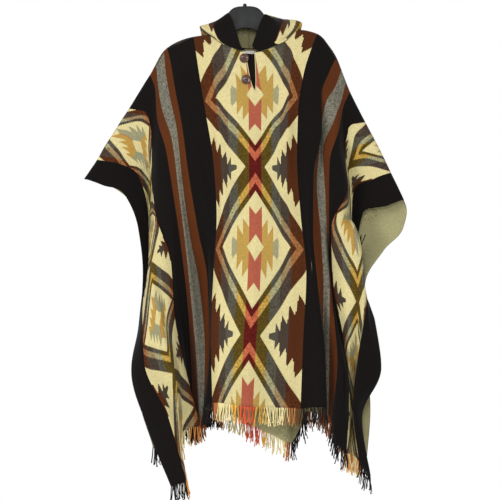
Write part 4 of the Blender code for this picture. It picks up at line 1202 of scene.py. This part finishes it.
def fringe_tree():
    """Strands set on the hem's points, each leaning its own way and waved towards its tip."""
    tree = bpy.data.node_groups.new("fringe_strands", "GeometryNodeTree")
    tree.interface.new_socket("Geometry", in_out="INPUT", socket_type="NodeSocketGeometry")
    sizes = {
        "Length": STRAND_LENGTH, "Radius": STRAND_RADIUS, "Lean": STRAND_LEAN,
        "Wave": STRAND_WAVE,
    }
    for label, size in sizes.items():
        socket = tree.interface.new_socket(label, in_out="INPUT", socket_type="NodeSocketFloat")
        socket.default_value = size
    seed = tree.interface.new_socket("Seed", in_out="INPUT", socket_type="NodeSocketInt")
    seed.default_value = 3
    tree.interface.new_socket("Geometry", in_out="OUTPUT", socket_type="NodeSocketGeometry")
    entry = tree.nodes.new("NodeGroupInput").outputs

    def add(kind, inputs, **settings):
        made = tree.nodes.new(kind)
        for name, value in settings.items():
            setattr(made, name, value)
        for label, value in inputs.items():
            if isinstance(value, bpy.types.NodeSocket):
                tree.links.new(value, made.inputs[label])
            else:
                made.inputs[label].default_value = value
        return made.outputs

    tip = add("ShaderNodeCombineXYZ", {"Z": entry["Length"]})[0]
    line = add("GeometryNodeCurvePrimitiveLine", {"End": tip})[0]
    line = add("GeometryNodeResampleCurve", {"Curve": line, "Count": 8})[0]
    along = add("GeometryNodeSplineParameter", {})["Factor"]
    line = add(
        "GeometryNodeStoreNamedAttribute", {"Geometry": line, "Name": "along", "Value": along},
        data_type="FLOAT", domain="POINT",
    )[0]
    ring = add(
        "GeometryNodeCurvePrimitiveCircle", {"Resolution": 4, "Radius": entry["Radius"]},
    )[0]
    strand = add(
        "GeometryNodeCurveToMesh", {"Curve": line, "Profile Curve": ring, "Fill Caps": True},
    )[0]
    fall = add("GeometryNodeInputNamedAttribute", {"Name": "fall"}, data_type="FLOAT_VECTOR")[0]
    most = add("ShaderNodeCombineXYZ", {"X": entry["Lean"], "Y": entry["Lean"]})[0]
    least = add("ShaderNodeVectorMath", {0: most, "Scale": -1.0}, operation="SCALE")[0]
    lean = add(
        "FunctionNodeRandomValue", {0: least, 1: most, "Seed": entry["Seed"]},
        data_type="FLOAT_VECTOR",
    )[0]
    way = add("ShaderNodeVectorMath", {0: fall, 1: lean}, operation="ADD")[0]
    turn = add("FunctionNodeAlignRotationToVector", {"Vector": way}, axis="Z")[0]
    share = add(
        "FunctionNodeRandomValue", {2: 0.78, 3: 1.04, "Seed": entry["Seed"]},
        data_type="FLOAT",
    )[1]
    size = add("ShaderNodeCombineXYZ", {"X": 1.0, "Y": 1.0, "Z": share})[0]
    set_out = add("GeometryNodeInstanceOnPoints", {
        "Points": entry["Geometry"], "Instance": strand, "Rotation": turn, "Scale": size,
    })[0]
    real = add("GeometryNodeRealizeInstances", {"Geometry": set_out})[0]
    along = add("GeometryNodeInputNamedAttribute", {"Name": "along"}, data_type="FLOAT")[0]
    tint = add("GeometryNodeInputNamedAttribute", {"Name": "tint"}, data_type="FLOAT")[0]
    noise = add(
        "ShaderNodeTexNoise", {"W": tint, "Scale": 34.0, "Detail": 1.0},
        noise_dimensions="4D",
    )[1]
    centred = add("ShaderNodeVectorMath", {0: noise, 1: (0.5, 0.5, 0.5)}, operation="SUBTRACT")[0]
    squared = add("ShaderNodeMath", {0: along, 1: along}, operation="MULTIPLY")[0]
    amount = add("ShaderNodeMath", {0: squared, 1: entry["Wave"]}, operation="MULTIPLY")[0]
    wave = add("ShaderNodeVectorMath", {0: centred, "Scale": amount}, operation="SCALE")[0]
    waved = add("GeometryNodeSetPosition", {"Geometry": real, "Offset": wave})[0]
    done = add("GeometryNodeSetMaterial", {"Geometry": waved, "Material": fringe_yarn})[0]
    leave = tree.nodes.new("NodeGroupOutput")
    tree.links.new(done, leave.inputs["Geometry"])
    return tree


def hem_fringe(name, drape, tree, seed, nodes):
    rng = np.random.default_rng(seed)
    strands = int(2 * FRINGE_CLOTH / STRAND_STEP)
    places = np.linspace(-FRINGE_CLOTH, FRINGE_CLOTH, strands)
    places = places + rng.uniform(-0.3, 0.3, strands) * STRAND_STEP
    hem = drape.grid(places, [0.985, 1.0])
    down = hem[:, 1] - hem[:, 0]
    down /= np.linalg.norm(down, axis=1)[:, None]
    fall = down * STRAND_ALONG + np.array((0, -STRAND_OUT * drape.facing, -1.0))
    fall /= np.linalg.norm(fall, axis=1)[:, None]
    mesh = bpy.data.meshes.new(name)
    mesh.from_pydata([Vector(p) for p in hem[:, 1] - down * STRAND_TUCK], [], [])
    for label, kind, field, values in (
        ("fall", "FLOAT_VECTOR", "vector", fall.ravel()),
        ("cloth_place", "FLOAT", "value", places),
        ("tint", "FLOAT", "value", rng.uniform(0, 1, strands)),
    ):
        mesh.attributes.new(label, kind, "POINT").data.foreach_set(field, values.astype(np.float32))
    thing = bpy.data.objects.new(name, mesh)
    bpy.context.scene.collection.objects.link(thing)
    strands_made = thing.modifiers.new("strands", "NODES")
    strands_made.node_group = tree
    for item in tree.interface.items_tree:
        if item.name == "Seed" and item.in_out == "INPUT":
            strands_made[item.identifier] = seed
    applied(thing)
    for face in thing.data.polygons:
        face.use_smooth = True
    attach(thing, "root")
    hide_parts(*nodes)
    return thing


strand_tree = fringe_tree()
fringe_front = hem_fringe(
    "hem_fringe_front", front, strand_tree, 5,
    ("fringe_front_left", "fringe_front_middle", "fringe_front_right"),
)
fringe_back = hem_fringe(
    "hem_fringe_back", back, strand_tree, 8,
    ("fringe_back_left", "fringe_back_middle", "fringe_back_right"),
)


# Hanger. One charcoal plastic moulding, a hump between two arms that the shoulders and the
# hood hide. It hangs a little askew from its hook. Its lower rim lies in shade, which is
# coloured in: the rim starts RIM_DROP below the hook and RIM_BEND curves it down sideways.
HANGER_MIDDLE = -0.013
HANGER_THICK = 0.0120
HANGER_BEVEL = 0.0022
HANGER_TILT = math.radians(0.8)
RIM_DROP, RIM_BEND = 0.1115, 5.0
HANGER_HALF = (
    (0.000, 0.0610), (0.022, 0.0615), (0.038, 0.069), (0.052, 0.088), (0.065, 0.111),
    (0.077, 0.131), (0.088, 0.141), (0.097, 0.1445), (0.122, 0.1448), (0.135, 0.1456),
    (0.171, 0.1572), (0.190, 0.166), (0.199, 0.175), (0.203, 0.184), (0.198, 0.191),
    (0.176, 0.186), (0.136, 0.177), (0.099, 0.172), (0.070, 0.160), (0.042, 0.136),
    (0.020, 0.122), (0.000, 0.118),
)

charcoal, shader, graph = new_finish("charcoal_plastic", 0.42, 0.0, 0.15)
place = graph.place()
grain = graph.noise(place, 1400.0, 2.0)
handled = graph.noise(place, 40.0, 3.0)
plain = graph.plain(dye(13, 14, 15))
across = graph.node("ShaderNodeSeparateXYZ", {0: place}, out=0) - HANGER_MIDDLE
drop = graph.node("ShaderNodeSeparateXYZ", {0: place}, out=2) * -1.0
under = drop > across * across * RIM_BEND + RIM_DROP
feed(shader, "Base Color", plain.shade((0.85 + handled * 0.3) * (1 - under * 0.9)))
feed(shader, "Roughness", 0.34 + handled * 0.2)
raise_nap(graph, shader, 0.25, 0.0003, grain)


def rounded(outline):
    """Cuts the corners of a closed outline twice, as a mould's radii do."""
    ring = np.array(outline)
    for _ in range(2):
        ahead = np.roll(ring, -1, axis=0)
        near, far = ring * 0.75 + ahead * 0.25, ring * 0.25 + ahead * 0.75
        ring = np.stack([near, far], axis=1).reshape(-1, 2)
    return ring


outline = list(HANGER_HALF) + [(-x, drop) for x, drop in HANGER_HALF[-2:0:-1]]
profile = bpy.data.curves.new("hanger_profile", "CURVE")
profile.dimensions = "2D"
profile.fill_mode = "BOTH"
profile.extrude = HANGER_THICK / 2 - HANGER_BEVEL
profile.bevel_depth = HANGER_BEVEL
profile.bevel_resolution = 3
profile.offset = -HANGER_BEVEL
edge = rounded(outline)
spline = profile.splines.new("POLY")
spline.points.add(len(edge) - 1)
for point, (x, drop) in zip(spline.points, edge):
    point.co = (x + HANGER_MIDDLE, -drop, 0, 1)
spline.use_cyclic_u = True
drawn = bpy.data.objects.new("hanger_profile", profile)
bpy.context.scene.collection.objects.link(drawn)
seen = drawn.evaluated_get(bpy.context.evaluated_depsgraph_get())
mesh = bpy.data.meshes.new_from_object(seen)
bpy.data.objects.remove(drawn, do_unlink=True)
bm = bmesh.new()
bm.from_mesh(mesh)
upright = Matrix.Rotation(-HANGER_TILT, 4, "Y") @ Matrix.Rotation(math.pi / 2, 4, "X")
bmesh.ops.transform(bm, matrix=upright, verts=bm.verts)
bmesh.ops.remove_doubles(bm, verts=bm.verts, dist=0.00005)
bmesh.ops.recalc_face_normals(bm, faces=bm.faces)
bm.to_mesh(mesh)
bm.free()
mesh.materials.clear()
mesh.materials.append(charcoal)
for face in mesh.polygons:
    face.use_smooth = True
mesh.set_sharp_from_angle(angle=math.radians(35))
hanger = bpy.data.objects.new("moulded_hanger", mesh)
bpy.context.scene.collection.objects.link(hanger)
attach(hanger, "root")
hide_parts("hanger")


# Hook. Bright steel wire bent to a round crook, its end rounded off, that stands in a
# short collar on top of the hump.
WIRE_RADIUS = 0.00175
HOOK_RADIUS = 0.020
FERRULE_RADIUS, FERRULE_HEIGHT, FERRULE_TOP = 0.005, 0.006, -0.0548
FERRULE_ASIDE = 0.0005

steel, shader, graph = new_finish("bright_steel", 0.28)
shader.inputs["Metallic"].default_value = 1.0
place = graph.place()
drawn_lines = graph.noise(place, 600.0, 3.0)
plain = graph.plain(dye(204, 204, 206))
feed(shader, "Base Color", plain.shade(0.85 + drawn_lines * 0.25))
feed(shader, "Roughness", 0.2 + drawn_lines * 0.2)

crook = np.radians(np.arange(-35, 196, 5))
hook_centre = WIRE_RADIUS - HOOK_RADIUS
route = np.stack([HOOK_RADIUS * np.cos(crook), hook_centre + HOOK_RADIUS * np.sin(crook)], axis=1)
stem = np.array([
    (-0.0175, -0.0285), (-0.0145, -0.0345), (-0.0130, -0.0410), (-0.0125, -0.0480),
    (-0.0125, -0.0545),
])
route = np.concatenate([route, stem])
travelled = np.concatenate([[0], np.cumsum(np.linalg.norm(np.diff(route, axis=0), axis=1))])
route = smooth_between(travelled, route, np.linspace(0, travelled[-1], 90))
wire = tube("hook_wire", [(x, 0, z) for x, z in route], WIRE_RADIUS, steel, sides=16)
end_way = Vector((route[0][0] - route[1][0], 0, route[0][1] - route[1][1]))
tip_profile = [
    (WIRE_RADIUS * 1.15 * math.sin(a), WIRE_RADIUS * 1.15 * math.cos(a))
    for a in np.linspace(0, math.pi, 9)
]
tip, _ = lathe("hook_tip", tip_profile, 16, steel, Vector((route[0][0], 0, route[0][1])), end_way)
for piece in (wire, tip):
    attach(piece, "root")
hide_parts("hanger_hook")

collar_profile = (
    (0, 0), (FERRULE_RADIUS * 0.5, 0), (FERRULE_RADIUS * 0.8, -FERRULE_HEIGHT * 0.16),
    (FERRULE_RADIUS, -FERRULE_HEIGHT * 0.6), (FERRULE_RADIUS, -FERRULE_HEIGHT),
    (0, -FERRULE_HEIGHT),
)
collar_place = Vector((HANGER_MIDDLE - FERRULE_ASIDE, 0, FERRULE_TOP))
collar, _ = lathe("hook_collar", collar_profile, 24, charcoal, collar_place, (0, 0, 1))
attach(collar, "root")
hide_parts("hanger_ferrule")


# Studio. A pale floor below the hanging poncho, an even pale surround, and three soft
# lights: one from the left in front, a smaller one straight in front, a large one behind.
FLOOR_DROP = 0.10
FLOOR_HALF = 1.2

floor_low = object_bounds()[0][2] - FLOOR_DROP
floor_mesh = bpy.data.meshes.new("studio_floor")
corners = [(-1, -1), (1, -1), (1, 1), (-1, 1)]
spots = [(x * FLOOR_HALF, y * FLOOR_HALF, floor_low) for x, y in corners]
floor_mesh.from_pydata(spots, [], [(0, 1, 2, 3)])
paper, shader, graph = new_finish("pale_paper", 0.9)
place = graph.place()
fibre = graph.noise(place, 60.0, 2.0)
plain = graph.plain((0.93, 0.93, 0.93))
feed(shader, "Base Color", plain.shade(0.985 + fibre * 0.03))
floor_mesh.materials.append(paper)
floor = bpy.data.objects.new("studio_floor", floor_mesh)
bpy.context.scene.collection.objects.link(floor)

surround = bpy.data.worlds.new("pale_surround")
surround.use_nodes = True
surround.node_tree.nodes["Background"].inputs["Color"].default_value = (1.0, 1.0, 1.0, 1.0)
surround.node_tree.nodes["Background"].inputs["Strength"].default_value = 1.0
bpy.context.scene.world = surround
bpy.context.scene.view_settings.view_transform = "Standard"

Lamp = namedtuple("Lamp", "name place size watts")
LAMPS = (
    Lamp("key_left", (-3.0, -3.6, 0.6), 1.4, 110),
    Lamp("fill_front", (0.0, -6.0, 0.15), 0.8, 170),
    Lamp("rim_behind", (0.6, 3.2, 1.6), 2.4, 60),
)
for lamp in LAMPS:
    light = bpy.data.lights.new(lamp.name, "AREA")
    light.size = lamp.size
    light.energy = lamp.watts
    stand = bpy.data.objects.new(lamp.name, light)
    stand.location = lamp.place
    aim = VIEW_MIDDLE - Vector(lamp.place)
    stand.rotation_euler = aim.to_track_quat("-Z", "Y").to_euler()
    bpy.context.scene.collection.objects.link(stand)
